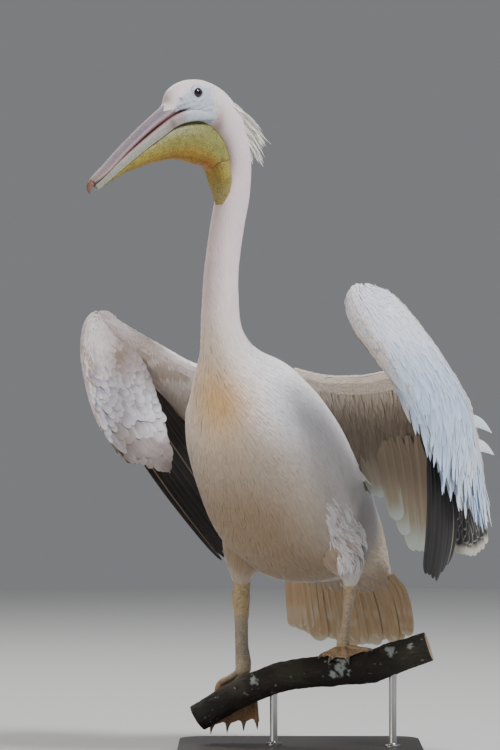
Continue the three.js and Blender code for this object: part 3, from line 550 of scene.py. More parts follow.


# ---------------------------------------------------------------- markings
# The colours that skin and feathers share: cream white on the body, lilac pink on the neck
# and head, an orange patch on the breast and bare pale skin on the face. Over them lie painted
# light and shade: a brighter, bluer white on the upper breast and flank on the bird's left,
# painted shade under the belly and on the lower flank, and a painted shadow behind the pouch.
CREAM = [0.86, 0.78, 0.70]
LILAC = [0.79, 0.635, 0.68]
SKY_LIT_WHITE = [0.87, 0.86, 0.93]
BREAST_ORANGE = [0.82, 0.47, 0.14]
BELLY_SHADE = [0.29, 0.20, 0.12]
FLANK_SHADE = [0.16, 0.145, 0.15]
NECK_YELLOW = [0.84, 0.70, 0.46]
FACE_SKIN = [0.52, 0.575, 0.66]
BROW_PINK = [0.80, 0.70, 0.70]
POUCH_EDGE_SHADOW = [0.34, 0.23, 0.20]
MOUTH_MAROON = [0.20, 0.055, 0.065]
BREAST_PATCH, BREAST_PATCH_SIZE = np.array([-172.0, -268.0, 748.0]), 74.0


def face_amount(points):
    """How far a point lies in the bare skin round the eye, from 0 to 1."""
    f, _, z = np.moveaxis(in_head(points), -1, 0)
    ragged = 0.12 * (z - 1370) + 3.0 * np.sin(z * 0.21) + 1.5 * np.sin(z * 0.57 + 1)
    behind = soft_step(f, -23 + ragged, -8 + ragged)
    brow_edge = 1404 - 0.20 * np.maximum(f - 20, 0) - 0.012 * np.maximum(f - 26, 0) ** 2
    under_brow = soft_step(brow_edge - z, -4, 6)
    above_jaw = soft_step(z, 1320, 1327)
    return behind * under_brow * above_jaw * soft_step(z, 1000, 1200)


def gape_line(f, height):
    """How near a point of the head lies to the line of the mouth, and how deep that line is."""
    line = np.interp(f, (-6, 0, 46, 84, 119, 140), (1347, 1349, 1354, 1343, 1323, 1310))
    deep = np.interp(f, (-8, 2, 44, 60, 140), (0.0, 0.35, 0.5, 0.95, 1.0))
    return np.exp(-((height - line) / 2.0) ** 2), deep


def markings(points):
    """The plumage colour at each point, in millimetres."""
    x, y, z = np.moveaxis(np.asarray(points, float), -1, 0)
    colour = filled(CREAM, points.shape).copy()
    rise = 0.8 * x + 0.6 * (z - 600)
    # Painted light: the upper breast and the flank on the bird's left face the light, so they are painted a brighter,
    # bluer white.
    colour = blended(colour, SKY_LIT_WHITE, 0.9 * soft_step(rise, -90, 60) * soft_step(z, 430, 560)
                     * soft_step(930 - z, 0, 120))
    # Painted shade with a warm reflected tint: the front of the belly on the bird's right and the bottom of the body
    # are painted darker brown.
    under_wing = soft_step(60 - y, 0, 80)
    colour = blended(colour, [0.48, 0.385, 0.30], 0.8 * soft_step(-rise, -130, 30) * soft_step(740 - z, 0, 120)
                     * under_wing)
    colour = blended(colour, BELLY_SHADE, 0.92 * soft_step(-rise, -20, 140) * soft_step(680 - z, 0, 180) * under_wing)
    colour = blended(colour, BELLY_SHADE, 0.6 * soft_step(470 - z, 0, 80) * under_wing)
    colour = blended(colour, FLANK_SHADE, 0.75 * soft_step(x + 14 * value_noise(points, 40, 2), 88, 136)
                     * soft_step(640 - z, 0, 120))
    colour = blended(colour, LILAC, 0.85 * soft_step(z, 800, 1010))
    throat = np.exp(-((x + 190) / 34) ** 2 - ((z - 850) / 70) ** 2) * soft_step(-180 - y, 0, 40)
    colour = blended(colour, NECK_YELLOW, 0.5 * throat)
    apart = np.linalg.norm((points - BREAST_PATCH) * np.array([1.0, 0.6, 0.9]), axis=-1)
    colour = blended(colour, BREAST_ORANGE, 0.82 * np.exp(-(apart / BREAST_PATCH_SIZE) ** 2))
    f, l, height = np.moveaxis(in_head(points), -1, 0)
    on_head = soft_step(height, 1290, 1340)
    colour = blended(colour, BROW_PINK, 0.8 * on_head)
    # Painted shadow: a brownish shade on the head behind the face, along the pouch's upper rear edge.
    pouch_shadow = np.exp(-((f + 33) / 12) ** 2 - ((height - 1328) / 30) ** 2)
    colour = blended(colour, POUCH_EDGE_SHADOW, 0.75 * pouch_shadow * soft_step(height, 1270, 1300))
    colour = blended(colour, FACE_SKIN, face_amount(points))
    nostril = np.exp(-((f - 66) / 4.0) ** 2 - ((height - 1375) / 2.6) ** 2) * soft_step(np.abs(l), 4, 9)
    colour = blended(colour, [0.20, 0.08, 0.13], 0.85 * nostril)
    gape, depth = gape_line(f, height)
    return blended(colour, MOUTH_MAROON, depth * gape * soft_step(np.abs(l), 8, 14) * on_head)


def lore(points):
    """A fine mottling, a few per cent, for bare skin."""
    return 1 + 0.05 * value_noise(points, 5, 2)[..., None]


# ---------------------------------------------------------------- the skin
# One skin over trunk, neck, head, thighs and wings, with no seam: the shapes above are
# joined, drawn together and shrunk by the depth of the coat that grows on it.
SKIN_VOXEL, SKIN_ROUNDS, WING_SKIN_LEAST, WING_COAT = 3.2, 8, 9.0, 4.0
FOLDED_FROM = 1300


def to_bvh(piece):
    corners = [v.co / MM for v in piece.data.vertices]
    return BVHTree.FromPolygons(corners, [tuple(p.vertices) for p in piece.data.polygons])


def joined(pieces, name):
    """Makes one object of several."""
    for piece in pieces:
        piece.select_set(True)
    bpy.context.view_layer.objects.active = pieces[0]
    bpy.ops.object.join()
    made = bpy.context.object
    made.name = name
    return made


def melted(piece, voxel, rounds):
    """Draws overlapping shells together into one skin and eases it."""
    melt = piece.modifiers.new("melt", "REMESH")
    melt.mode = "VOXEL"
    melt.voxel_size = voxel * MM
    bpy.ops.object.modifier_apply(modifier=melt.name)
    ease = piece.modifiers.new("ease", "SMOOTH")
    ease.factor = 0.5
    ease.iterations = rounds
    bpy.ops.object.modifier_apply(modifier=ease.name)


def grid_bvh(grid, closed=False):
    rows, columns = grid.shape[:2]
    wrap = columns if closed else columns - 1
    quads = [(r * columns + k, r * columns + (k + 1) % columns, (r + 1) * columns + (k + 1) % columns,
              (r + 1) * columns + k) for r in range(rows - 1) for k in range(wrap)]
    return BVHTree.FromPolygons([Vector(p) for p in grid.reshape(-1, 3)], quads)


flesh = [shell_piece("flesh_trunk", trunk, tube_faces(TRUNK_ROWS, TRUNK_AROUND))]
for side, rings in thighs.items():
    flesh.append(shell_piece(f"flesh_thigh_{side}", rings, tube_faces(*rings.shape[:2])))
for name, sections in (("left_arm", LEFT_ARM), ("left_hand", LEFT_HAND[:8]), ("left_forearm", LEFT_FOREARM),
                       ("right_arm", RIGHT_ARM), ("right_hand", RIGHT_HAND)):
    rings = panel_rings(sections, least=WING_SKIN_LEAST, slimmer=WING_COAT)
    flesh.append(shell_piece(f"flesh_{name}", rings, tube_faces(*rings.shape[:2])))
skin = joined(flesh, "skin")
melted(skin, SKIN_VOXEL, SKIN_ROUNDS)

# The head's part of the skin is divided once more, to hold its folds.
bpy.ops.object.mode_set(mode="EDIT")
bpy.ops.mesh.select_all(action="DESELECT")
bpy.ops.object.mode_set(mode="OBJECT")
for flat in skin.data.polygons:
    flat.select = flat.center.z > FOLDED_FROM / 1000
bpy.ops.object.mode_set(mode="EDIT")
bpy.ops.mesh.select_mode(type="FACE")
bpy.ops.mesh.subdivide(number_cuts=1, smoothness=1.0)
bpy.ops.object.mode_set(mode="OBJECT")
skin.select_set(False)


def mesh_values(piece, kind):
    flat = np.empty(len(piece.data.vertices) * 3, np.float32)
    piece.data.vertices.foreach_get(kind, flat)
    return flat.reshape(-1, 3).astype(float)


def mesh_points(piece):
    return mesh_values(piece, "co") / MM


def mesh_normals(piece):
    return mesh_values(piece, "normal")


def set_points(piece, points):
    piece.data.vertices.foreach_set("co", (points * MM).astype(np.float32).ravel())
    piece.data.update()


EYE_PLACE, EYE_OUT, EYE_RADIUS = (25.0, 1389.0), 23.0, 12.0


def coat_depth(points):
    """How deep the coat is, and so how far the skin lies inside: less on the neck, none on the face."""
    z = points[..., 2]
    depth = 4.0 - 2.4 * soft_step(z, 830, 960)
    return np.where(in_head(points)[..., 2] > 1290, 0.9 - 0.7 * face_amount(points), depth)


points = mesh_points(skin)
normals = mesh_normals(skin)
points = points - normals * coat_depth(points)[:, None]

# Round each eye the skin sinks to a socket and rises to a soft ring; behind the bare face
# the feathered edge stands a little proud, and the brow swells over the bill's root.
f, l, z = np.moveaxis(in_head(points), -1, 0)
from_eye = np.hypot(f - EYE_PLACE[0], z - EYE_PLACE[1])
socket = -5.0 * np.exp(-(from_eye / 10.5) ** 4) + 0.4 * np.exp(-((from_eye - 16.5) / 3.2) ** 2)
socket = socket - 0.7 * np.exp(-((from_eye - 23) / 3.0) ** 2) * soft_step(EYE_PLACE[1] - z, -4, 6)
socket = socket * soft_step(np.abs(l), 12, 20)
edge = face_amount(points)
rim = 4 * edge * (1 - edge)
brow = 2.2 * np.exp(-((f - 44) / 20) ** 2 - ((z - 1404) / 12) ** 2 - (l / 20) ** 2)
fold = 0.5 * np.sin((z - 1352 + 0.35 * f + 3 * value_noise(points, 18, 1))
                    * 0.62) * np.exp(-((z - 1352) / 17) ** 2) * edge
fold = fold + 1.0 * value_noise(points, 8, 2) * edge
gape, deep = gape_line(f, z)
fold = fold - 1.6 * gape * deep + 0.8 * np.exp(-((gape - 0.35) / 0.2) ** 2) * deep * soft_step(f, -8, 0)
on_face = soft_step(z, 1300, 1330)
points = points + normals * ((socket + 0.7 * rim + brow + fold) * on_face)[:, None]
set_points(skin, points)
smoothed(skin.data)

skin_finish = finish("feathered_skin", CREAM, 0.62, Subsurface_Weight=0.0)
pores = grain(skin_finish, 900, 0.0, 3.0)
wrinkles = grain(skin_finish, 210, 1.2, 4.0)
coloured(skin_finish, mixed(skin_finish, "MULTIPLY", 0.5, attribute(skin_finish),
                            ramp(skin_finish, wrinkles, [(0.3, (0.82, 0.82, 0.84)), (0.65, (1.06, 1.04, 1.02))])))
roughened(skin_finish, pores, 0.5, 0.75)
bumped(skin_finish, wrinkles, 0.6, 0.6)
bumped(skin_finish, pores, 0.25, 0.5)
skin.data.materials.clear()
skin.data.materials.append(skin_finish)
# Painted shade: the feathered skin is painted ten per cent darker, as the shade under its coat.
shade_under_coat = 1 - 0.10 * (1 - face_amount(points))[:, None] * (1 - soft_step(points[:, 2], 1290, 1320))[:, None]
tinted(skin, markings(points) * lore(points) * shade_under_coat)
fitted(skin, "plumage", "rump", "belly", "breast", "neck_lower", "neck_upper", "head", "thigh_left",
       "thigh_right", "wing_left_arm", "wing_left_hand", "wing_left_forearm", "wing_right_arm", "wing_right_hand")
skin_bvh = to_bvh(skin)


# ---------------------------------------------------------------- feathers
# Every feather is a thin closed vane. It starts at a root under the coat and lies along the
# body in the direction of the coat, each row over the roots of the next.
def nearest_on(surface, points):
    """The nearest point of a surface, its outward normal and the distance, for many points."""
    near = np.empty_like(points)
    normal = np.empty_like(points)
    gap = np.empty(len(points))
    for i, point in enumerate(points):
        place, way, _, apart = surface.find_nearest(Vector(point))
        near[i], normal[i], gap[i] = place, way, apart
    return near, normal, gap


def laid_paths(surface, roots, ups, ways, lengths, times, heights, hang=7.0):
    """Walks each feather over a surface from its root. heights is its height at each time along it."""
    path = np.empty((len(roots), len(times), 3))
    up = np.empty_like(path)
    here, normal, way = roots.copy(), ups.copy(), ways.copy()
    for j in range(len(times)):
        if j:
            way = unit(way - normal * np.sum(way * normal, -1, keepdims=True))
            here = here + way * (lengths * (times[j] - times[j - 1]))[:, None]
            near, fresh, gap = nearest_on(surface, here)
            fresh = fresh * np.where(np.sum(fresh * normal, -1) < 0, -1, 1)[:, None]
            free = (gap > hang)[:, None]
            here = np.where(free, here, near)
            normal = unit(np.where(free, normal, normal + fresh))
        up[:, j] = normal
        path[:, j] = here + normal * np.asarray(heights)[..., j, None]
    return path, up


def feather_mesh(name, path, up, half, thick, cross, colours, spots, material, cup=0.0):
    """Joins many vanes into one mesh. cross is the outline of a vane cut across, as side and height."""
    count, sections = path.shape[:2]
    cross = np.asarray(cross, float)
    around = len(cross)
    along = unit(np.gradient(path, axis=1))
    side = unit(np.cross(along, up))
    lift = np.cross(side, along)
    across = cross[None, None, :, 0] * half[..., None]
    height = cross[None, None, :, 1] * thick[..., None] - cup * half[..., None] * cross[None, None, :, 0] ** 2
    corners = path[:, :, None] + side[:, :, None] * across[..., None] + lift[:, :, None] * height[..., None]
    base = (np.arange(count) * sections * around)[:, None, None]
    row = (np.arange(sections - 1) * around)[None, :, None]
    k = np.arange(around)[None, None, :]
    n = (k + 1) % around
    quads = np.stack([base + row + k, base + row + n, base + row + around + n, base + row + around + k],
                     -1).reshape(-1, 4)
    root_cap = (base[:, 0] + np.arange(around)[None, ::-1])
    tip_cap = (base[:, 0] + (sections - 1) * around + np.arange(around)[None, :])
    caps = np.concatenate([root_cap, tip_cap])
    first = corners[0].reshape(-1, 3)
    middle = first.mean(0)
    volume = sum(np.dot(first[a] - middle, np.cross(first[b] - middle, first[c] - middle)
                        + np.cross(first[c] - middle, first[d] - middle))
                 for a, b, c, d in quads[:(sections - 1) * around])
    if volume < 0:
        quads, caps = quads[:, ::-1], caps[:, ::-1]
    mesh = bpy.data.meshes.new(name)
    flat = corners.reshape(-1, 3)
    mesh.vertices.add(len(flat))
    mesh.vertices.foreach_set("co", (flat * MM).astype(np.float32).ravel())
    loops = np.concatenate([quads.ravel(), caps.ravel()]).astype(np.int32)
    mesh.loops.add(len(loops))
    mesh.loops.foreach_set("vertex_index", loops)
    starts = np.concatenate([np.arange(len(quads)) * 4, len(quads) * 4 + np.arange(len(caps)) * around])
    mesh.polygons.add(len(starts))
    mesh.polygons.foreach_set("loop_start", starts.astype(np.int32))
    mesh.update(calc_edges=True)
    mesh.validate()
    smoothed(mesh)
    mesh.set_sharp_from_angle(angle=math.radians(60))
    run = np.concatenate([np.zeros((count, 1)), np.cumsum(np.linalg.norm(np.diff(path, axis=1), axis=-1), 1)], 1)
    if spots is not None:
        patch = 0.003
        u = spots[:, 0, None, None] + patch * 0.5 * cross[None, None, :, 0] + 0 * run[..., None]
        v = spots[:, 1, None, None] + patch * (run / run[:, -1:] - 0.5)[..., None] + 0 * across
        bake = mesh.uv_layers.new(name="OFBake")
        bake.data.foreach_set("uv", np.stack([u, v], -1).reshape(-1, 2)[loops].astype(np.float32).ravel())
    lie = mesh.uv_layers.new(name="lie")
    grid = np.stack([across, run[..., None] + 0 * across], -1).reshape(-1, 2) / 100
    lie.data.foreach_set("uv", grid[loops].astype(np.float32).ravel())
    mesh.materials.append(material)
    piece = bpy.data.objects.new(name, mesh)
    bpy.context.scene.collection.objects.link(piece)
    tinted(piece, colours if colours.ndim == 4 else np.broadcast_to(colours[:, :, None], (count, sections, around, 3)))
    return piece


def barbed(name, roughness, contrast, depth, sheen=0.25):
    """Feather: the colour stored at each corner, ruled with fine slanting barbs."""
    made = finish(name, CREAM, roughness, Sheen_Weight=sheen, Sheen_Roughness=0.5)
    tree = made.node_tree
    lie = tree.nodes.new("ShaderNodeUVMap")
    lie.uv_map = "lie"
    split = tree.nodes.new("ShaderNodeSeparateXYZ")
    tree.links.new(lie.outputs["UV"], split.inputs["Vector"])
    spread = tree.nodes.new("ShaderNodeMath")
    spread.operation = "ABSOLUTE"
    tree.links.new(split.outputs["X"], spread.inputs[0])
    slant = tree.nodes.new("ShaderNodeMath")
    slant.operation = "MULTIPLY_ADD"
    slant.inputs[1].default_value = -1.3
    tree.links.new(spread.outputs["Value"], slant.inputs[0])
    tree.links.new(split.outputs["Y"], slant.inputs[2])
    ruled = tree.nodes.new("ShaderNodeCombineXYZ")
    tree.links.new(slant.outputs["Value"], ruled.inputs["X"])
    barbs = tree.nodes.new("ShaderNodeTexNoise")
    barbs.inputs["Scale"].default_value = 120
    barbs.inputs["Detail"].default_value = 2
    tree.links.new(ruled.outputs["Vector"], barbs.inputs["Vector"])
    low, high = 1 - contrast, 1 + contrast * 0.6
    coloured(made, mixed(made, "MULTIPLY", 1.0, attribute(made), ramp(
        made, barbs.outputs["Fac"], [(0.3, (low, low, low)), (0.7, (high, high, high))])))
    bumped(made, barbs.outputs["Fac"], depth, 0.7)
    return made


def scattered(grid, row_gap, side_gap, closed, seed):
    """Staggered, slightly shaken roots over a grid: place, run along it and place across it."""
    shake = np.random.default_rng(seed)
    rows, columns = grid.shape[:2]
    middle = grid.mean(1)
    run = np.concatenate([[0], np.cumsum(np.linalg.norm(np.diff(middle, axis=0), axis=-1))])
    found = []
    place, index = 0.0, 0
    while place < run[-1]:
        r = min(np.interp(place, run, np.arange(rows)), rows - 1.001)
        ring = grid[int(r)] * (1 - r % 1) + grid[int(r) + 1] * (r % 1)
        loop = np.vstack([ring, ring[:1]]) if closed else ring
        edge = np.concatenate([[0], np.cumsum(np.linalg.norm(np.diff(loop, axis=0), axis=-1))])
        count = max(int(edge[-1] / side_gap(r / rows)), 3)
        at = (np.arange(count) + 0.5 * (index % 2) + shake.uniform(-0.32, 0.32, count)) / count
        at = at % 1.0 if closed else np.clip(at, 0, 1)
        across = np.interp(at * edge[-1], edge, np.arange(len(loop)))
        jitter = shake.uniform(-0.35, 0.35, count) * row_gap(r / rows)
        runs = np.interp(np.clip(place + jitter, 0, run[-1]), run, np.arange(rows))
        found.append(np.stack([runs, across], -1))
        place += row_gap(r / rows)
        index += 1
    found = np.concatenate(found)
    r0 = np.minimum(found[:, 0].astype(int), rows - 2)
    c0 = found[:, 1].astype(int) % columns
    c1 = (c0 + 1) % columns if closed else np.minimum(c0 + 1, columns - 1)
    a, b = (found[:, 0] - r0)[:, None], (found[:, 1] % 1)[:, None]
    spot = (grid[r0, c0] * (1 - a) * (1 - b) + grid[r0, c1] * (1 - a) * b
            + grid[r0 + 1, c0] * a * (1 - b) + grid[r0 + 1, c1] * a * b)
    down = unit((grid[r0 + 1, c0] - grid[r0, c0]) * (1 - b) + (grid[r0 + 1, c1] - grid[r0, c1]) * b)
    width = unit(grid[r0, c1] - grid[r0, c0])
    return spot, down, width, found[:, 0] / rows, found[:, 1] / columns, shake


# ---------------------------------------------------------------- coat of trunk and neck
# Fine hair-like feathers from the nape down: short velvet on the neck, narrow streaming
# vanes on breast and belly, broader ones on the back, and ruffled white locks on the flank.
HAIR = ((0, 0.4, 0.75, 1.0), (0.6, 1.0, 0.8, 0.12))
BRIGHTEST = 0.93
LANCE = ((0, 0.2, 0.45, 0.7, 0.88, 1.0), (0.55, 0.9, 1.0, 0.85, 0.5, 0.06))
ROUND = ((0, 0.25, 0.5, 0.72, 0.88, 0.97, 1.0), (0.5, 0.85, 1.0, 1.0, 0.82, 0.5, 0.18))
body_plumage = barbed("body_feather", 0.8, 0.10, 0.25)
RIDGE = [(-1, 0), (0, 1), (1, 0)]
DISHED = [(-1, 0), (-0.5, 0.75), (0, 1), (0.5, 0.75), (1, 0)]
SPLIT_PIECE = 9000
VANE_THICKNESS, VANE_STOUTER = 0.22, 0.05


def coat(name, grid, facing, closed, gaps, shape, cross, size_of, way_of, colour_of, seed, keep=None,
         depth_of=coat_depth, hang=7.0, cup=0.08, sheet=(0.0, 1.0), room=None):
    """Grows a coat over one smooth shape. sheet is the part of the bake map that it takes, and room
    is how far a tip may hang past the edge of an open shape."""
    surface = grid_bvh(grid, closed)
    spot, down, width, run, across, shake = scattered(grid, gaps[0], gaps[1], closed, seed)
    rows, columns = grid.shape[:2]
    look = facing[np.minimum((run * rows).astype(int), rows - 1),
                  np.minimum((across * columns).astype(int), columns - 1)]
    out = unit(np.cross(width, down))
    out = out * np.where(np.sum(out * look, -1) < 0, -1, 1)[:, None]
    near, normal, _ = nearest_on(skin_bvh, spot)
    kept = np.sum((spot - near) * normal, -1) > -2.0
    if keep is not None:
        kept &= keep(spot, run, across)
    spot, down, width, out, run, across = (a[kept] for a in (spot, down, width, out, run, across))
    length, half_width, lifted = size_of(spot, run, across, shake)
    way = unit(way_of(spot, down, width, run, across, shake, out))
    if room is not None:
        chord = np.linalg.norm(np.diff(grid, axis=1), axis=-1).sum(1)[np.minimum((run * rows).astype(int), rows - 1)]
        span = np.linalg.norm(np.diff(grid.mean(1), axis=0), axis=-1).sum()
        sideways, onward = np.sum(way * width, -1), np.sum(way * down, -1)
        left_side = np.where(sideways > 0, 1 - across, across) * chord / np.maximum(np.abs(sideways), 1e-3)
        left_down = np.where(onward > 0, 1 - run, 9) * span / np.maximum(np.abs(onward), 1e-3)
        reach = np.minimum(left_side, left_down) + room
        held = reach > 0.6 * length
        spot, out, run, across, way = (a[held] for a in (spot, out, run, across, way))
        length, half_width, lifted = np.minimum(length, reach)[held], half_width[held], lifted[held]
    n = len(spot)
    times, widths = np.array(shape[0]), np.array(shape[1])
    depth = depth_of(spot)
    heights = -depth[:, None] * 0.6 * (1 - times) + lifted[:, None] * times
    path, up = laid_paths(surface, spot, out, way, length, times, heights, hang)
    half = half_width[:, None] * widths
    thick = (VANE_THICKNESS + VANE_STOUTER * half_width[:, None]) * (0.5 + 0.5 * widths)
    colours = np.clip(colour_of(path, spot, run, across, shake), 0, BRIGHTEST)
    u = sheet[0] + (sheet[1] - sheet[0]) * (0.02 + 0.96 * across)
    spots = np.stack([u, 0.02 + 0.96 * run], -1)
    pieces = []
    for i, start in enumerate(range(0, n, SPLIT_PIECE)):
        part = slice(start, start + SPLIT_PIECE)
        piece = feather_mesh(f"{name}_{i + 1}", path[part], up[part], half[part], thick[part], cross,
                             colours[part], spots[part], body_plumage, cup)
        pieces.append(fitted(piece, "plumage"))
    return pieces


def shaded(colour, shake, times, spread=0.05, root=0.94, tip=1.04):
    """Colour along each feather: painted shade at the root, under the feathers that overlap it, and painted light at
    the tip, a little different each.
    """
    tone = np.clip(1 + spread * shake.standard_normal(len(colour)), 0.82, 1.14)
    return colour * tone[:, None, None] * np.interp(times, (0, 0.5, 1), (root, 1.0, tip))[None, :, None]


def even(row_gap, side_gap):
    """The same gaps between feathers all over a shape."""
    return lambda run: row_gap, lambda run: side_gap


def on_neck(run):
    return soft_step(run, 0.50, 0.60)


def trunk_masks(spot, run, across):
    front = np.sin(across * 2 * np.pi)
    back = soft_step(-front, 0.15, 0.75) * (1 - on_neck(run))
    tiny = soft_step(spot[:, 2], 1290, 1340)
    return front, back, tiny


def trunk_size(spot, run, across, shake):
    neck = on_neck(run)
    _, back, tiny = trunk_masks(spot, run, across)
    n = len(spot)
    length = (34 + 12 * shake.random(n)) * (1 - 0.62 * neck) * (1 - 0.40 * tiny) * (1 + 0.5 * back)
    half = (2.5 + 0.7 * shake.random(n)) * (1 - 0.36 * neck) * (1 + 1.6 * back)
    lifted = (-0.1 + 0.22 * shake.random(n)) * (1 - 0.5 * neck)
    return length, half, lifted


def trunk_way(spot, down, width, run, across, shake, out):
    front = trunk_masks(spot, run, across)[0]
    splay = shake.normal(0, 0.07, len(spot)) + 0.12 * value_noise(spot, 70, 1)
    streaming = 0.34 * soft_step(spot[:, 2], 450, 700) * (1 - on_neck(run)) * soft_step(front, 0, 0.6)
    return -down + np.cross(out, -down) * splay[:, None] + left_of(BODY_TURN) * streaming[:, None]


def trunk_colour(path, spot, run, across, shake):
    back = trunk_masks(spot, run, across)[1]
    calm = 0.03 - 0.018 * on_neck(run)
    tone = 1 + calm * shake.standard_normal(len(spot))
    tone = tone + 0.09 * value_noise(spot * np.array([1.0, 1.0, 0.3]), 14, 2) * (1 - on_neck(run))
    # Painted shade at each feather's root and painted light at its tip.
    colour = markings(path) * tone[:, None, None] * np.interp(HAIR[0], (0, 0.5, 1), (0.95, 1.0, 1.04))[None, :, None]
    return blended(colour, [0.80, 0.79, 0.80], (0.6 * back * soft_step(spot[:, 2], 560, 700))[:, None] * np.ones(4))


def feathered(spot, run, across):
    return (face_amount(spot) < 0.25) & ~((spot[:, 2] > 1330) & (in_head(spot)[:, 0] > 56))


trunk_facing = trunk - trunk.mean(1)[:, None]
coat("coat_trunk", trunk, trunk_facing, True, (lambda r: 7.2 - 2.6 * on_neck(r), lambda r: 3.6 - 1.2 * on_neck(r)),
     HAIR, RIDGE, trunk_size, trunk_way, trunk_colour, 11, keep=feathered)


def tail_covert_size(spot, run, across, shake):
    n = len(spot)
    return 58 + 24 * shake.random(n), 3.0 + 2.0 * shake.random(n), 0.5 + 2.0 * shake.random(n)


def tail_covert_way(spot, down, width, run, across, shake, out):
    return -down + np.cross(out, -down) * shake.normal(0, 0.12, len(spot))[:, None]


def tail_covert_colour(path, spot, run, across, shake):
    colour = blended(filled([0.30, 0.26, 0.23], path.shape), [0.46, 0.34, 0.22],
                     np.interp(LANCE[0], (0, 1), (0, 0.8))[None, :])
    return shaded(colour, shake, LANCE[0], 0.07)


coat("coat_tail_coverts", trunk[3:56], trunk_facing[3:56], True, even(9.0, 6.5), LANCE, RIDGE,
     tail_covert_size, tail_covert_way, tail_covert_colour, 12)


def nape_size(spot, run, across, shake):
    n = len(spot)
    return 30 + 26 * shake.random(n), 1.8 + 1.2 * shake.random(n), 1.0 + 9.0 * shake.random(n) ** 1.5


def nape(spot, run, across):
    f, _, z = np.moveaxis(in_head(spot), -1, 0)
    return (z > 1235) & (z < 1372) & (np.sin(across * 2 * np.pi) < -0.45) & (f < -20)


def nape_way(spot, down, width, run, across, shake, out):
    return -down + np.cross(out, -down) * shake.normal(0, 0.16, len(spot))[:, None] + out * 0.22


def nape_colour(path, spot, run, across, shake):
    colour = blended(markings(path), [0.86, 0.82, 0.74], np.interp(LANCE[0], (0, 0.5), (0, 0.8))[None, :]
                     * np.ones((len(path), 1)))
    return shaded(colour, shake, LANCE[0], 0.05)


nape_part = slice(300, TRUNK_ROWS)
coat("coat_nape", trunk[nape_part], trunk_facing[nape_part], True, even(5.0, 4.0), LANCE, RIDGE,
     nape_size, nape_way, nape_colour, 13, keep=nape, hang=2.5)

for side, rings in thighs.items():
    def thigh_size(spot, run, across, shake):
        slim = soft_step(run, 0.6, 1.0)
        n = len(spot)
        return ((28 + 14 * shake.random(n)) * (1 - 0.25 * slim), (2.0 + 0.8 * shake.random(n)) * (1 - 0.3 * slim),
                -0.4 + 1.4 * shake.random(n) ** 2 * (1 - 0.6 * slim))

    def thigh_way(spot, down, width, run, across, shake, out):
        return down + np.cross(out, down) * (0.13 * shake.standard_normal(len(spot)) + 0.1)[:, None]

    def thigh_colour(path, spot, run, across, shake):
        ones = np.ones(path.shape[1])
        near_locks = soft_step(run, 0.3, 0.6) if side == "left" else 0 * run
        colour = blended(markings(path), [0.74, 0.70, 0.69], 0.75 * near_locks[:, None] * ones)
        # Painted shade: the thigh is painted browner toward its lower end, strongly on the right thigh, which lies on
        # the shaded side.
        colour = blended(colour, [0.36, 0.27, 0.18], (0.75 if side == "right" else 0.3)
                         * soft_step(run, 0.55, 0.95)[:, None] * ones)
        return shaded(colour, shake, HAIR[0], 0.05)

    coat(f"coat_thigh_{side}", rings, rings - rings.mean(1)[:, None], True, even(6.0, 3.4), HAIR,
         RIDGE, thigh_size, thigh_way, thigh_colour, 21, depth_of=lambda p: np.full(len(p), THIGH_COAT), hang=16.0)

# The flank's loose white locks start on the skin under the wing and fall over the thigh.
LOCK_AREA, LOCKS_TRIED = ((26, 126), (416, 566)), 3600
shake = np.random.default_rng(23)
seeds = np.stack([shake.uniform(*LOCK_AREA[0], LOCKS_TRIED), shake.uniform(*LOCK_AREA[1], LOCKS_TRIED)], -1)
oval = ((seeds[:, 0] - 82) / 44 + (seeds[:, 1] - 486) / 150) ** 2 + ((seeds[:, 1] - 486) / 76) ** 2
with_fall = np.stack([seeds[:, 0] * 0.68 - seeds[:, 1] * 0.73, 5.5 * (seeds[:, 0] * 0.73 + seeds[:, 1] * 0.68),
                      0 * oval], -1)
strand = value_noise(with_fall, 58, 2) + 0.22 * (1 - oval)
kept = (oval < 1) & (strand > 0.02 + 0.16 * shake.random(LOCKS_TRIED) + 0.35 * oval ** 2)
seeds, strand = seeds[kept], strand[kept]
roots, outs, white = [], [], []
for (x, z), bright in zip(seeds, soft_step(strand, 0.0, 0.38)):
    place, facing, _, _ = skin_bvh.ray_cast(Vector((x, -600, z)), Vector((0, 1, 0)))
    if place is not None:
        roots.append(place)
        outs.append(facing)
        white.append(bright)
roots, outs, white = np.array(roots, float), np.array(outs, float), np.array(white)
n = len(roots)
low = soft_step(500 - roots[:, 2], 0, 90)
fall = 0.92 - 0.72 * low + 0.55 * value_noise(roots, 40, 2) + 0.07 * shake.standard_normal(n)
ways = unit(np.stack([np.sin(fall), 0 * fall, -np.cos(fall)], -1))
lengths = np.minimum(26 + 30 * shake.random(n), 0.8 * (roots[:, 2] - 372))
times = np.array(LANCE[0])
rise = -1.0 + 5.4 * times ** 0.4 + ((0.3 + 5.0 * shake.random(n) ** 2) * (0.3 + 0.7 * white))[:, None] * times ** 1.4
path, up = laid_paths(skin_bvh, roots, outs, ways, lengths, LANCE[0], rise)
half = (1.5 + 1.3 * shake.random(n))[:, None] * np.array(LANCE[1])
# Painted shade: locks that fall outside the bright strands are painted brown as shade between the white locks, and
# every lock's root is painted dark as shade under its neighbours.
lock_colour = blended(filled([0.46, 0.37, 0.30], path.shape), [0.90, 0.88, 0.92],
                      (white * (0.6 + 0.4 * shake.random(n)))[:, None] * np.ones(len(times)))
colours = np.clip(blended(shaded(lock_colour, shake, LANCE[0], 0.07, 0.95, 1.05),
                          [0.30, 0.23, 0.18], np.interp(LANCE[0], (0, 0.4), (0.95, 0))[None, :] * np.ones((n, 1))), 0,
                  BRIGHTEST)
spots = np.stack([(roots[:, 0] - LOCK_AREA[0][0]) / 110, (roots[:, 2] - LOCK_AREA[1][0]) / 180], -1) * 0.9 + 0.03
fitted(feather_mesh("flank_locks", path, up, half, 0.35 + 0 * half, RIDGE, colours, spots, body_plumage, 0.15),
       "plumage")


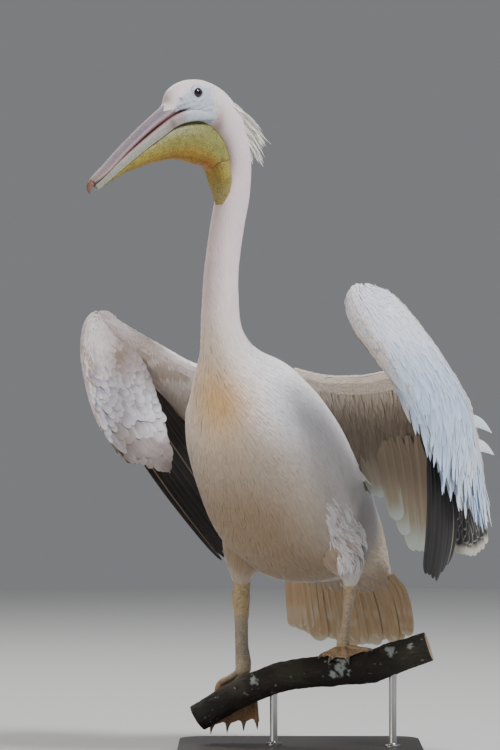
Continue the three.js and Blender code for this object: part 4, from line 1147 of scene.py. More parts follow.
# ---------------------------------------------------------------- legs and feet
# Bare shanks and webbed feet of tough scaled skin, yellow at the joint and grey down the
# shank, with rings of scutes above the toes. Each ends in four toes with a grey claw.
SHANKS = {
    "left": [(106, -45, 378, 12.5, 13.5), (105, -43, 352, 13.5, 14), (102, -38, 322, 9.5, 11.5),
             (98, -32, 280, 8.5, 11),
             (93, -26, 250, 11, 13), (91, -26, 236, 14, 14), (91, -27, 226, 11, 11)],
    "right": [(-124, 44, 380, 19, 18), (-125, 45, 352, 18.5, 18), (-126, 46, 330, 20, 19), (-125, 48, 304, 17, 16),
              (-125, 52, 270, 14.5, 14), (-124, 53, 226, 14.5, 14), (-121, 56, 190, 17.5, 16.5),
              (-121, 58, 172, 15, 13)],
}
FEET = {
    "left": ((91, -26, 229), [((72, -32, 222), (50, -40, 214)), ((76, -44, 220), (66, -56, 209)),
                              ((95, -50, 220), (99, -62, 209)), ((114, -38, 227), (142, -50, 225))]),
    "right": ((-121, 57, 178), [((-98, 62, 146), (-92, 50, 66)), ((-118, 68, 138), (-120, 56, 62)),
                                ((-144, 68, 138), (-154, 56, 58)), ((-172, 58, 144), (-188, 48, 56))]),
}
TOE_RADIUS, WEB_THICKNESS, WEB_NOTCH, INSTEP = 6.6, 4.4, 0.06, {"left": 13.5, "right": 17}
CLAW_LENGTH, CLAW_RADIUS = 13, 3.6
SHANK_GRID, TOE_GRID, CLAW_GRID, WEB_ROWS, WEB_COLUMNS = (90, 40), (30, 20), (14, 16), 16, 14
LEG_VOXEL, LEG_ROUNDS, SCUTE_STEP, SCUTE_DEPTH = 1.5, 3, 5.2, 0.55
LEG_YELLOW, LEG_GREY, LEG_RUST, LEG_PALE = [0.58, 0.44, 0.24], [0.36, 0.34, 0.28], [0.50, 0.27, 0.12], [0.62, 0.53,
                                                                                                        0.36]



def cells(made, scale):
    """The distance to the edge of small cells, for scales and veins."""
    net = made.node_tree.nodes.new("ShaderNodeTexVoronoi")
    net.feature = "DISTANCE_TO_EDGE"
    net.inputs["Scale"].default_value = scale
    place = made.node_tree.nodes.new("ShaderNodeTexCoord")
    made.node_tree.links.new(place.outputs["Object"], net.inputs["Vector"])
    return net.outputs["Distance"]


leg_skin = finish("scaled_leg_skin", (0.5, 0.38, 0.24), 0.5)
scales = cells(leg_skin, 330)
seams = ramp(leg_skin, scales, [(0.0, (0.55, 0.5, 0.46)), (0.12, (1.0, 1.0, 1.0))])
mottle = grain(leg_skin, 240, 0.8, 4.0)
mottled = mixed(leg_skin, "MULTIPLY", 0.55, attribute(leg_skin),
                ramp(leg_skin, mottle, [(0.32, (0.55, 0.52, 0.5)), (0.62, (1.15, 1.12, 1.05))]))
coloured(leg_skin, mixed(leg_skin, "MULTIPLY", 0.7, mottled, seams))
bumped(leg_skin, scales, 1.4, 0.9)
bumped(leg_skin, mottle, 0.6, 0.6)
roughened(leg_skin, mottle, 0.38, 0.62)
claw_horn = finish("grey_claw_horn", (0.17, 0.14, 0.12), 0.35)
horn_streak = grain(claw_horn, 500, 0.0, 3.0, (1, 1, 0.15))
coloured(claw_horn, ramp(claw_horn, horn_streak, [(0.3, (0.10, 0.08, 0.07)), (0.7, (0.26, 0.22, 0.19))]))
bumped(claw_horn, horn_streak, 0.15, 0.5)


def ball(name, centre, radii, rows=24, around=32):
    tilt = np.linspace(0.001, np.pi - 0.001, rows)
    turn = full_turn(around)
    unit_ball = np.stack([np.sin(tilt)[:, None] * np.cos(turn), np.sin(tilt)[:, None] * np.sin(turn),
                          np.cos(tilt)[:, None] + 0 * turn], -1)
    return shell_piece(name, np.array(centre) + unit_ball * np.array(radii), tube_faces(rows, around))


def fused(name, shells, voxel, rounds):
    """Joins closed shells into one smooth skin."""
    made = joined(shells, name)
    made.data.name = name
    melted(made, voxel, rounds)
    smoothed(made.data)
    made.select_set(False)
    return made


for side, (ankle, toes) in FEET.items():
    ankle = np.array(ankle, float)
    shank = rings_along(SHANKS[side], *SHANK_GRID)
    shank_out = unit(shank - shank.mean(1)[:, None])
    lumps = 1.3 * value_noise(shank, 13, 2) * soft_step(shank[..., 2], ankle[2] + 80, ankle[2] + 120)
    shells = [shell_piece("shank", shank + shank_out * lumps[..., None], tube_faces(*SHANK_GRID)),
              ball("instep", ankle, (INSTEP[side],) * 3)]
    ends = []
    for knuckle, end in toes:
        knuckle, end = np.array(knuckle, float), np.array(end, float)
        bend = [ankle, ankle * 0.45 + knuckle * 0.55, knuckle, knuckle * 0.5 + end * 0.5, end]
        stations = [(*p, r, r) for p, r in zip(bend, (TOE_RADIUS, TOE_RADIUS, TOE_RADIUS * 1.08, TOE_RADIUS * 0.82,
                                                      TOE_RADIUS * 0.84))]
        shells.append(shell_piece("toe", rings_along(stations, *TOE_GRID), tube_faces(*TOE_GRID)))
        shells.append(ball("toe_end", end, (TOE_RADIUS * 0.8,) * 3, 12, 16))
        ends.append((knuckle, end))
    for (k0, e0), (k1, e1) in zip(ends[:-1], ends[1:]):
        near = [ankle + 0.15 * (k0 + (k1 - k0) * t - ankle) for t in (0, 0.5, 1)]
        middle = [k0, (k0 + k1) / 2, k1]
        far_middle = (e0 + e1) / 2
        far = [e0, far_middle + WEB_NOTCH * (ankle - far_middle), e1]
        edge_rows = [smooth_run(row, WEB_COLUMNS) for row in (near, middle, far)]
        web = smooth_run(np.array(edge_rows).reshape(3, -1), WEB_ROWS).reshape(WEB_ROWS, WEB_COLUMNS, 3)
        u_way, v_way = np.gradient(web, axis=0), np.gradient(web, axis=1)
        web_out = unit(np.cross(u_way, v_way)) * WEB_THICKNESS / 2
        web_rings = np.concatenate([web + web_out, (web - web_out)[:, ::-1]], 1)
        shells.append(shell_piece("web", web_rings, tube_faces(WEB_ROWS, 2 * WEB_COLUMNS)))
    leg = fused(f"leg_skin_{side}", shells, LEG_VOXEL, LEG_ROUNDS)
    where = mesh_points(leg)
    reach = np.linalg.norm(where - ankle, axis=-1)
    # Rings of scutes stand across the front of the lower shank and along the toes.
    over_foot = where[:, 2] - ankle[2]
    steps = np.where(over_foot > 12, over_foot, reach) / SCUTE_STEP
    scute = (np.abs((steps % 1) - 0.5) * 2) ** 6
    ringed = np.where(over_foot > 12, 1 - soft_step(over_foot, 60, 105), 0.8)
    set_points(leg, where - mesh_normals(leg) * (SCUTE_DEPTH * scute * ringed)[:, None])
    high = soft_step(where[:, 2], ankle[2] + 90, ankle[2] + 130)
    tint = filled(LEG_GREY if side == "right" else [0.54, 0.43, 0.32], where.shape)
    tint = blended(tint, LEG_YELLOW, 0.85 * high + 0.35 * soft_step(value_noise(where, 16, 2), -0.1, 0.4) * (1 - high))
    tint = blended(tint, [0.34, 0.22, 0.11], 0.5 * soft_step(value_noise(where, 11, 2), 0.0, 0.35) * high)
    tint = blended(tint, LEG_PALE, 0.75 * soft_step(ankle[2] + 42 - where[:, 2], 0, 30))
    under = soft_step(ankle[2] - 14 - where[:, 2], 0, 34) if side == "right" else soft_step(ankle[2] + 16
                                                                                            - where[:, 2], 0, 18)
    tint = blended(tint, LEG_RUST, (0.9 if side == "right" else 0.55) * under)
    tint = blended(tint, [0.26, 0.20, 0.16], 0.3 * soft_step(value_noise(where, 7, 2), 0.05, 0.4))
    tint = blended(tint, [0.22, 0.18, 0.15], 0.5 * scute * ringed)
    leg.data.materials.clear()
    leg.data.materials.append(leg_skin)
    tinted(leg, tint)
    fitted(leg, "leg", f"leg_{side}", f"foot_{side}")
    for i, (knuckle, end) in enumerate(ends):
        aim = unit(end - knuckle)
        start = end + aim * 1.0
        tip = start + aim * CLAW_LENGTH + np.array([0, 0, -CLAW_LENGTH * 0.35])
        bow = start + aim * CLAW_LENGTH * 0.55 + np.array([0, 0, 0.8])
        stations = [(*(start - aim * 3), 3.4, 4.0), (*start, CLAW_RADIUS, CLAW_RADIUS * 1.2),
                    (*bow, CLAW_RADIUS * 0.75, CLAW_RADIUS * 0.9),
                    (*tip, 0.5, 0.5)]
        horn = rings_along(stations, *CLAW_GRID)
        fitted(shell_piece(f"claw_{side}_{i + 1}_horn", horn, tube_faces(*CLAW_GRID), [claw_horn]), "claw",
               f"claw_{side}_{i + 1}")


# ---------------------------------------------------------------- eyes
# A dark glossy eye on each side, sunk in the bare skin, with a soft ring of lid that is
# open over two thirds of the ball.
cornea = finish("dark_eye", (0.02, 0.01, 0.015), 0.16, Coat_Weight=0.2, Coat_Roughness=0.10)
iris_grain = grain(cornea, 900, 0.6, 4.0)
coloured(cornea, mixed(cornea, "MULTIPLY", 0.6, attribute(cornea),
                       ramp(cornea, iris_grain, [(0.3, (0.6, 0.6, 0.6)), (0.7, (1.3, 1.3, 1.3))])))
bumped(cornea, iris_grain, 0.02, 0.3)
lid_skin = finish("lid_skin", FACE_SKIN, 0.5)
lid_wrinkle = grain(lid_skin, 700, 1.0, 4.0)
coloured(lid_skin, mixed(lid_skin, "MULTIPLY", 0.5, attribute(lid_skin),
                         ramp(lid_skin, lid_wrinkle, [(0.3, (0.8, 0.8, 0.82)), (0.65, (1.05, 1.04, 1.03))])))
bumped(lid_skin, lid_wrinkle, 0.35, 0.7)
roughened(lid_skin, lid_wrinkle, 0.4, 0.6)

LID = [(17.5, 3.0), (16.0, 5.2), (14.4, 6.6), (12.9, 7.6), (11.5, 8.3), (10.5, 8.5), (9.8, 8.2), (9.5, 7.0),
       (11.2, 4.0)]
BALL_ROWS, BALL_AROUND, LID_AROUND = 30, 48, 64
for side, sign in (("left", 1), ("right", -1)):
    axis = sign * left_of(HEAD_TURN)
    ahead, upright = forward_of(HEAD_TURN), np.array([0.0, 0, 1])
    centre = head_point(EYE_PLACE[0], sign * EYE_OUT, EYE_PLACE[1])
    tilt, turn = np.linspace(0.001, np.pi - 0.001, BALL_ROWS), full_turn(BALL_AROUND)
    ball_points = (centre + EYE_RADIUS * (np.cos(tilt)[:, None, None] * axis
                   + np.sin(tilt)[:, None, None] * (np.cos(turn)[None, :, None] * ahead
                                                    + np.sin(turn)[None, :, None] * upright)))
    eye = shell_piece(f"eye_{side}_ball", ball_points, tube_faces(BALL_ROWS, BALL_AROUND), [cornea])
    angle = (np.degrees(tilt)[:, None] + 0 * turn)[..., None]
    tinted(eye, np.where(angle < 22, [0.002, 0.001, 0.003],
                         np.where(angle < 50, [0.020, 0.007, 0.014], [0.02, 0.013, 0.016])))
    fitted(eye, "eye", f"eye_{side}")
    around = full_turn(LID_AROUND)[None, :]
    radius, height = (np.array(LID)[:, i, None] for i in (0, 1))
    near_eye = radius < 12.4
    wide = radius * (1 + 0.10 * near_eye * np.abs(np.cos(around)) ** 3)
    tall = radius * np.where(near_eye, 0.94, 1.0)
    height = height + 0.25 * np.sin(around * 11 + radius * 2) * (radius > 12) * (radius < 15.5)
    lid_rings = (centre + axis * height[..., None] + ahead * (wide * np.cos(around))[..., None]
                 + upright * (tall * np.sin(around))[..., None])
    last = (len(LID) - 1) * LID_AROUND
    lid_faces = tube_faces(len(LID), LID_AROUND, closed_ends=False)
    lid_faces += [(last + k, last + (k + 1) % LID_AROUND, (k + 1) % LID_AROUND, k) for k in range(LID_AROUND)]
    lid = shell_piece(f"lid_{side}", lid_rings, lid_faces, [lid_skin])
    rim_dark = np.where(radius < 10.9, 0.8, 0.0) + 0 * around
    tinted(lid, blended(filled(FACE_SKIN, lid_rings.shape), [0.20, 0.15, 0.19], rim_dark))
    fitted(lid, "face")


# ---------------------------------------------------------------- bill
# The upper bill is a long flat horn with a raised ridge down its middle, grey lilac and
# finely speckled, with pink edges. It ends in a hooked red-brown nail. Below it run the
# two thin bars of the lower bill, which meet at the tip.
UPPER_BILL = [(*head_point(f, 0, z), side, up, HEAD_TURN) for f, z, side, up in (
    (44, 1368, 14, 14), (62, 1361, 19, 17), (76, 1353, 20.6, 15.4), (136, 1314, 18, 11.5), (201, 1263, 17, 9.5),
                                                                                 (248, 1222, 17.5, 8.5),
    (270, 1205, 15, 7.5), (279, 1198, 10, 6.5))]
NAIL = [(*head_point(f, 0, z), side, up, HEAD_TURN) for f, z, side, up in (
    (264, 1210, 6, 6.5), (275.5, 1200.4, 8, 7), (283, 1191, 7, 6.5), (285.5, 1182, 4.6, 4.6), (283.5, 1175, 1.8, 1.8))]
JAW = [(-22, 27, 1343, 9), (44, 26, 1338, 10), (79, 24, 1327, 10), (114, 22, 1305, 10), (158, 19, 1275, 9),
       (204, 15, 1241, 8),
       (242, 10, 1210, 7), (270, 3, 1186, 6)]
BILL_LILAC, BILL_PINK, BILL_PALE = [0.25, 0.205, 0.25], [0.40, 0.25, 0.25], [0.36, 0.31, 0.23]
JAW_WHITE, JAW_MINT, NAIL_RED = [0.36, 0.30, 0.30], [0.34, 0.365, 0.29], [0.27, 0.13, 0.10]


def horn(name, speckle, roughness):
    made = finish(name, BILL_LILAC, roughness, Coat_Weight=0.04, Coat_Roughness=0.4)
    fine, streak = grain(made, 300, 0.4, 4.0), grain(made, 150, 1.4, 5.0)
    spotted = mixed(made, "MULTIPLY", speckle, attribute(made),
                    ramp(made, fine, [(0.36, (0.40, 0.32, 0.35)), (0.52, (1.0, 1.0, 1.0)), (0.8, (1.12, 1.1, 1.08))]))
    coloured(made, mixed(made, "MULTIPLY", 0.5, spotted,
                         ramp(made, streak, [(0.3, (0.66, 0.62, 0.64)), (0.65, (1.12, 1.1, 1.08))])))
    bumped(made, streak, 0.10, 0.25)
    roughened(made, streak, roughness, roughness + 0.16)
    return made


bill_horn, jaw_horn, nail_horn = horn("bill_horn", 0.3, 0.6), horn("jaw_horn", 0.25, 0.5), horn("nail_horn", 0.6, 0.34)
NAIL_ROWS, JAW_ROWS, JAW_AROUND = 40, 110, 40
rows, around = 320, 72
upper = rings_along(UPPER_BILL, rows, around)
line = upper.mean(1)
theta = np.degrees(full_turn(around))[None, :]
from_top = np.abs(theta - 270)
from_edge = np.minimum(np.minimum(theta, 360 - theta), np.abs(theta - 180))
t = np.linspace(0, 1, rows)[:, None]
bulge = (0.10 * np.exp(-(from_top / 26) ** 2) - 0.09 * np.exp(-((from_top - 40) / 14) ** 2)
         + 0.05 * np.exp(-(from_edge / 9) ** 2))
upper = line[:, None] + (upper - line[:, None]) * (1 + bulge)[..., None]
tint = blended(filled(BILL_LILAC, upper.shape), BILL_PALE, 0.7 * soft_step(t, 0.45, 0.95) + 0 * theta)
tint = blended(tint, [0.22, 0.17, 0.20], 0.45 * np.exp(-((from_edge - 40) / 16) ** 2) * soft_step(t, 0.1, 0.3))
tint = blended(tint, BILL_PINK, 0.75 * np.exp(-((from_edge - 6) / 11) ** 2) + 0 * t)
tint = blended(tint, BILL_PINK, 0.3 * np.exp(-(from_top / 16) ** 2) + 0 * t)
tint = blended(tint, MOUTH_MAROON, 0.9 * soft_step(theta, 14, 28) * soft_step(180 - theta, -2, 14) + 0 * t)
tint = blended(tint, [0.58, 0.53, 0.60], 0.85 * (1 - soft_step(t, 0.20, 0.34)) * soft_step(theta, 170, 190) + 0 * theta)
nostril = np.exp(-((t - 0.23) / 0.010) ** 2 - ((np.minimum(np.abs(theta - 335), np.abs(theta - 205))) / 9) ** 2)
tint = blended(tint, [0.20, 0.08, 0.14], 0.8 * nostril)
upper = upper - 1.0 * nostril[..., None] * unit(upper - line[:, None])
bill = shell_piece("bill_upper_horn", upper, tube_faces(rows, around), [bill_horn])
tinted(bill, tint)
fitted(bill, "bill", "bill_upper")

nail = rings_along(NAIL, NAIL_ROWS, NAIL_ROWS)
nail_piece = shell_piece("bill_nail_horn", nail, tube_faces(NAIL_ROWS, NAIL_ROWS), [nail_horn])
tinted(nail_piece, blended(filled(NAIL_RED, nail.shape), BILL_PALE, 0.5
                           * (1 - soft_step(np.linspace(0, 1, NAIL_ROWS)[:, None], 0.0, 0.35)) * np.ones(NAIL_ROWS)))
fitted(nail_piece, "nail", "bill_nail")

bars = []
for sign in (1, -1):
    stations = [(*head_point(f, sign * out, z + 0.22 * size), size * 0.52, size * 1.18, HEAD_TURN) for f, out, z,
                size in JAW]
    bar = rings_along(stations, JAW_ROWS, JAW_AROUND)
    bars.append(shell_piece(f"jaw_bar_{sign}", bar, tube_faces(JAW_ROWS, JAW_AROUND), [jaw_horn]))
    theta = np.degrees(full_turn(JAW_AROUND))[None, :]
    run = np.linspace(0, 1, JAW_ROWS)[:, None]
    tint = blended(filled(JAW_WHITE, bar.shape), JAW_MINT, 0.8 * soft_step(run, 0.25, 0.6) + 0 * theta)
    tint = blended(tint, [0.66, 0.66, 0.58], 0.6 * np.exp(-(((theta - 60) / 16) ** 2))
                   + 0.6 * np.exp(-(((theta - 120) / 16) ** 2)) + 0 * run)
    top_edge = np.exp(-(((theta - 270) / 38) ** 4))
    tint = blended(tint, MOUTH_MAROON, 0.95 * top_edge * soft_step(run, 0.12, 0.3))
    tint = blended(tint, [0.16, 0.10, 0.08], 0.6 * np.exp(-(((theta - 90) / 26) ** 4)) * (1 - soft_step(run, 0.3, 0.6)))
    tint = blended(tint, FACE_SKIN, 0.9 * (1 - soft_step(run, 0.12, 0.24)) + 0 * theta)
    patch = np.exp(-(((run - 0.33) / 0.03) ** 2) - ((np.cos(np.radians(theta)) * sign - 0.9) / 0.5) ** 2)
    tint = blended(tint, [0.16, 0.09, 0.09], 0.6 * patch)
    tinted(bars[-1], tint)
jaw = joined(bars, "bill_lower_bars")
jaw.select_set(False)
fitted(jaw, "mandible", "bill_lower")


# ---------------------------------------------------------------- pouch
# The throat pouch: thin bare skin hung between the bars of the lower bill and let into the
# front of the neck, olive above and orange along its lower edge, with fine veins and folds.
POUCH = [(*head_point(f, 0, z), side, up, HEAD_TURN) for f, z, side, up in (
    (262, 1188, 3, 3), (193, 1233, 12, 13), (127, 1266, 18, 25), (61, 1290, 24, 40), (-2, 1288, 28, 48),
                                                                            (-44, 1254, 29.5, 30),
    (-60, 1206, 27.5, 21), (-64, 1162, 14, 13))]
POUCH_OLIVE, POUCH_GREEN = [0.36, 0.29, 0.05], [0.25, 0.255, 0.085]
POUCH_ORANGE, POUCH_RED = [0.42, 0.21, 0.008], [0.44, 0.13, 0.012]
rows, around = 200, 110
pouch = rings_along(POUCH, rows, around)
pouch_line = pouch.mean(1)
theta = full_turn(around)[None, :]
t = np.linspace(0, 1, rows)[:, None]
pouch_out = unit(pouch - pouch_line[:, None])
low = soft_step(-np.sin(theta), -0.2, 0.9)
pleats = 0.22 * np.sin(theta * 22 + 4 * t) * soft_step(t, 0.1, 0.3) * (0.4 + 0.6 * low)
sags = 0.8 * value_noise(pouch, 26, 2) + 0.35 * value_noise(pouch, 7, 2)
f, l, z = np.moveaxis(in_head(pouch), -1, 0)
from_fold = z - 1236 + 0.55 * (f + 24) - 4 * np.sin(f * 0.12) - 3 * value_noise(pouch, 16, 2)
fold = np.exp(-(from_fold / 1.8) ** 2) * soft_step(-f, 22, 30) * soft_step(np.abs(l), 6, 14)
crease = -1.8 * fold
pouch = pouch + pouch_out * (pleats + sags + crease)[..., None]
# The cheek's feathered edge drops from the gape and swings back over the neck; under it the pouch sinks.
near, normal, _ = nearest_on(skin_bvh, pouch.reshape(-1, 3))
near, normal = near.reshape(pouch.shape), normal.reshape(pouch.shape)
signed = np.sum((pouch - near) * normal, -1)
f, l, z = np.moveaxis(in_head(pouch), -1, 0)
cheek = np.interp(-f, (16, 18, 29, 53, 67, 90), (1337, 1309, 1295, 1285, 1262, 1240))
bare = soft_step(f, -20, -15) * soft_step(z, 1280, 1292) * soft_step(np.abs(l), 10, 18)
under = soft_step(z - cheek, -8, -2) * soft_step(-13 - f, -3, 2)
wanted = np.where(signed < 1.3, signed + (1.3 - signed) * bare, signed)
wanted = wanted + (-4.5 - wanted) * under
pouch = pouch + normal * (wanted - signed)[..., None]
low = soft_step(-np.sin(theta), -0.3, 0.9)
tint = blended(filled(POUCH_OLIVE, pouch.shape), POUCH_GREEN, 0.8 * (1 - low) * soft_step(t, 0.2, 0.45)
               * (1 - soft_step(t, 0.68, 0.8)))
tint = blended(tint, [0.38, 0.32, 0.10], 0.6 * soft_step(t, 0.66, 0.80) * (1 - low))
tint = blended(tint, POUCH_ORANGE, 0.9 * soft_step(-np.sin(theta), 0.1, 0.9) * soft_step(t, 0.03, 0.25)
               * (1 - 0.75 * soft_step(t, 0.72, 0.84)))
tint = blended(tint, POUCH_RED, 0.75 * np.exp(-((t - 0.66) / 0.07) ** 2) * soft_step(-np.sin(theta), 0.5, 1.0))
tint = blended(tint, [0.40, 0.33, 0.14], 0.7 * soft_step(t, 0.82, 0.92) + 0 * theta)
wrinkled = soft_step(value_noise(pouch * np.array([1.0, 1.0, 0.6]), 10, 3), 0.0, 0.35)
tint = blended(tint, [0.17, 0.14, 0.03], 0.30 * wrinkled)
# Painted shade: the crease is painted darker, and so is the band where the pouch sinks under the cheek's feathered
# edge.
tint = blended(tint, [0.16, 0.10, 0.03], 0.7 * fold)
tint = blended(tint, [0.13, 0.08, 0.04], 0.75 * np.exp(-((wanted - 0.5) / 1.2) ** 2) * soft_step(t, 0.45, 0.55))
pouch_skin = finish("pouch_skin", POUCH_OLIVE, 0.5, Subsurface_Weight=0.12, Subsurface_Scale=0.004)
veins = cells(pouch_skin, 210)
net = ramp(pouch_skin, veins, [(0.0, (0.34, 0.32, 0.24)), (0.18, (1.0, 1.0, 1.0))])
blotch = grain(pouch_skin, 70, 1.0, 5.0)
blotched = mixed(pouch_skin, "MULTIPLY", 0.5, attribute(pouch_skin),
                 ramp(pouch_skin, blotch, [(0.3, (0.72, 0.74, 0.7)), (0.65, (1.15, 1.1, 1.0))]))
coloured(pouch_skin, mixed(pouch_skin, "MULTIPLY", 0.6, blotched, net))
bumped(pouch_skin, veins, -0.8, 0.6)
bumped(pouch_skin, blotch, 1.2, 0.5)
roughened(pouch_skin, blotch, 0.38, 0.58)
pouch_piece = shell_piece("pouch_skin", pouch, tube_faces(rows, around), [pouch_skin])
tinted(pouch_piece, tint)
fitted(pouch_piece, "pouch", "pouch")


# ---------------------------------------------------------------- crest
# Loose narrow plumes that trail from the nape, cream white.
PLUMES = [((-86, 4, 1364), (-152, 10, 1328)), ((-92, -6, 1358), (-166, -12, 1308)), ((-96, 8, 1350), (-170, 14, 1292)),
          ((-100, -3, 1342), (-166, -4, 1276)), ((-102, 8, 1332), (-164, 14, 1258)),
          ((-104, -6, 1320), (-152, -12, 1258)),
          ((-106, 2, 1308), (-138, 4, 1262))]
PLUMES_EACH = 30
plume_feather = barbed("plume_feather", 0.75, 0.14, 0.3)
shake = np.random.default_rng(31)
times = np.linspace(0, 1, 9)
roots, tips = [], []
for root, tip in PLUMES:
    for _ in range(PLUMES_EACH):
        short = 34 * shake.random() ** 1.5
        roots.append(np.array(root) + shake.normal(0, (4, 6, 7)) + np.array([14, 0, 3]))
        tips.append(np.array(tip) + shake.normal(0, (4, 5, 5)) + np.array([short, 0, 0.35 * short]))
roots, tips = np.array(roots), np.array(tips)
path = roots[:, None] + (tips - roots)[:, None] * times[None, :, None]
path[..., 2] += 6 * np.sin(times * np.pi) - 4 * times ** 3
path = np.array([[head_point(*p) for p in run] for run in path])
up = unit(filled([0.3, -1.0, 0.5], path.shape)
          + 0.4 * shake.standard_normal((len(path), 1, 3)))
half = (2.6 + 2.2 * shake.random(len(path)))[:, None] * np.array([0.6, 0.9, 1, 1, 0.92, 0.8, 0.6, 0.36, 0.08])
thick = np.full(half.shape, 0.35)
colours = shaded(filled([0.78, 0.74, 0.66], path.shape), shake, times, 0.10, 0.8, 1.12)
spots = np.stack([0.1 + 0.8 * shake.random(len(path)), 0.1 + 0.8 * np.linspace(0, 1, len(path))], -1)
fitted(feather_mesh("crest_plumes", path, up, half, thick, RIDGE, colours, spots, plume_feather, 0.12), "plumage",
       "crest")


# ---------------------------------------------------------------- flight and tail feathers
# Long vanes set in a fan, each overlapping the next, with a stout shaft down its length:
# black ones on the wings, paler inner ones, and broad buff ones in the tail.
VANE_PLACES = (-1, -0.86, -0.5, -0.14, -0.07, 0.07, 0.14, 0.5, 0.86, 1)
VANE = [(x, (0, 0.25, 0.5, 0.6, 1.6, 1.6, 0.6, 0.5, 0.25, 0)[i]) for i, x in enumerate(VANE_PLACES)]
VANE += [(0.5, -0.45), (0.0, -1.3), (-0.5, -0.45)]
VANE_ROWS = 22
FLIGHT_BLACK, FLIGHT_BROWN, SHAFT_BUFF = [0.014, 0.013, 0.016], [0.045, 0.036, 0.033], [0.52, 0.42, 0.28]
flight_feather = barbed("flight_feather", 0.5, 0.22, 0.35, sheen=0.1)
tail_feather = barbed("tail_feather", 0.72, 0.14, 0.35)


def vane_fan(name, root, middle, tip, count, width, look, colour_of, material, slot, nodes=(), seed=1, tilt=0.16,
             step=0.9, pointed=0.0, uneven=6.0):
    """A fan of long feathers between a first and a last one. look is the side that the top one lies on."""
    shake = np.random.default_rng(seed)
    starts, mids, ends = (smooth_run(p, count) for p in (root, middle, tip))
    times = (1 - np.cos(np.linspace(0, 1, VANE_ROWS) * np.pi * 0.5)) * 0.35 + np.linspace(0, 1, VANE_ROWS) * 0.65
    times = np.concatenate([times[:-5] / times[-6] * 0.90, np.array([0.93, 0.955, 0.975, 0.99, 1.0])])
    ends = ends + unit(ends - mids) * shake.normal(0, uneven, count)[:, None]
    w = times[None, :, None]
    path = starts[:, None] * (1 - w) ** 2 + 2 * mids[:, None] * w * (1 - w) + ends[:, None] * w * w
    along = unit(np.gradient(path, axis=1))
    across = np.gradient(path, axis=0)
    up = unit(np.cross(across, along))
    up = up * np.where(np.sum(up * np.asarray(look, float), -1) < 0, -1, 1)[..., None]
    side = np.cross(along, up)
    lean = tilt * (1 + 0.3 * shake.standard_normal(count))
    up = unit(up + side * lean[:, None, None])
    path = path + up * (np.arange(count)[:, None, None] * step)
    rounding = np.sqrt(np.clip(1 - np.clip((times - 0.86) / 0.14, 0, 1) ** (2 + pointed * -0.8), 0.0, 1))
    rounding = np.maximum(rounding, 0.06) * (1 - pointed * 0.45 * soft_step(times, 0.4, 1.0))
    grow = 0.35 + 0.65 * soft_step(times, 0.0, 0.25)
    half = width * (1 + 0.05 * shake.standard_normal(count))[:, None] * (rounding * grow)[None, :]
    thick = 0.75 * (1 - 0.55 * times)[None, :] * np.ones((count, 1))
    x = np.array([c[0] for c in VANE])[None, None, :] + 0 * half[..., None]
    colours = np.clip(colour_of(path, x, times[None, :, None] + 0 * x,
                                np.arange(count)[:, None, None] / max(count - 1, 1) + 0 * x, shake), 0, BRIGHTEST)
    piece = feather_mesh(name, path, up, half, thick, VANE, colours, None, material, cup=0.10)
    return fitted(piece, slot, *nodes)


def shaft_amount(x):
    return (np.abs(x) < 0.1).astype(float)


def all_black(x):
    return blended(filled(FLIGHT_BLACK, (*x.shape, 3)), FLIGHT_BROWN, 0.7 * soft_step(np.abs(x), 0.4, 1.0))


def black_vane(path, x, t, i, shake):
    buff = shaft_amount(x) * np.where(i < 0.01, 1.0, np.where(np.abs(i - 0.72) < 0.06, 0.55, 0.10)) * (1 - 0.4 * t)
    return blended(all_black(x), SHAFT_BUFF, buff)


def black_vane_first_last(path, x, t, i, shake):
    buff = shaft_amount(x) * (0.03 + 0.90 * (i > 0.99)) * (1 - 0.3 * t)
    return blended(all_black(x), SHAFT_BUFF, buff)


def fringed_vane(path, x, t, i, shake):
    colour = blended(filled([0.035, 0.03, 0.033], (*x.shape, 3)), FLIGHT_BROWN, 0.6 * soft_step(t, 0.3, 0.9))
    colour = blended(colour, [0.34, 0.31, 0.28], 0.7 * soft_step(np.abs(x), 0.84, 0.98) * soft_step(t, 0.1, 0.5))
    colour = blended(colour, [0.60, 0.57, 0.48], 0.9 * soft_step(t, 0.90, 0.97))
    return blended(colour, SHAFT_BUFF, 0.25 * shaft_amount(x))


def white_vane_in_shade(path, x, t, i, shake):
    # The tertials are white feathers in the hand's shade: painted brown as shade, darkest at the root, with pale mint
    # tips and edges.
    colour = blended(filled([0.37, 0.31, 0.23], (*x.shape, 3)), [0.20, 0.155, 0.11],
                     0.8 * (1 - soft_step(t, 0.3, 0.75)))
    edge = soft_step(np.abs(x), 0.55, 1.0) * soft_step(t, 0.5, 0.8)
    colour = blended(colour, [0.58, 0.68, 0.64], 0.9 * np.maximum(soft_step(t, 0.72, 0.97), 0.7 * edge))
    return blended(colour, [0.50, 0.43, 0.34], 0.12 * shaft_amount(x))


def tail_vane(path, x, t, i, shake):
    colour = blended(filled([0.47, 0.31, 0.165], (*x.shape, 3)), [0.54, 0.42, 0.28],
                     0.6 * soft_step(np.abs(x), 0.3, 0.95))
    warm = 0.5 + 0.5 * np.sin(i * 40)
    colour = blended(colour, [0.34, 0.22, 0.12], 0.4 * warm * (1 - soft_step(t, 0.55, 0.9)))
    cloudy = soft_step(value_noise(path, 34, 3), -0.05, 0.3)[..., None]
    colour = blended(colour, [0.62, 0.54, 0.42], 0.55 * cloudy * soft_step(t, 0.35, 0.7))
    colour = blended(colour, [0.68, 0.68, 0.56], 0.85 * soft_step(t, 0.88, 1.0))
    return blended(colour, [0.66, 0.50, 0.30], 0.15 * shaft_amount(x))


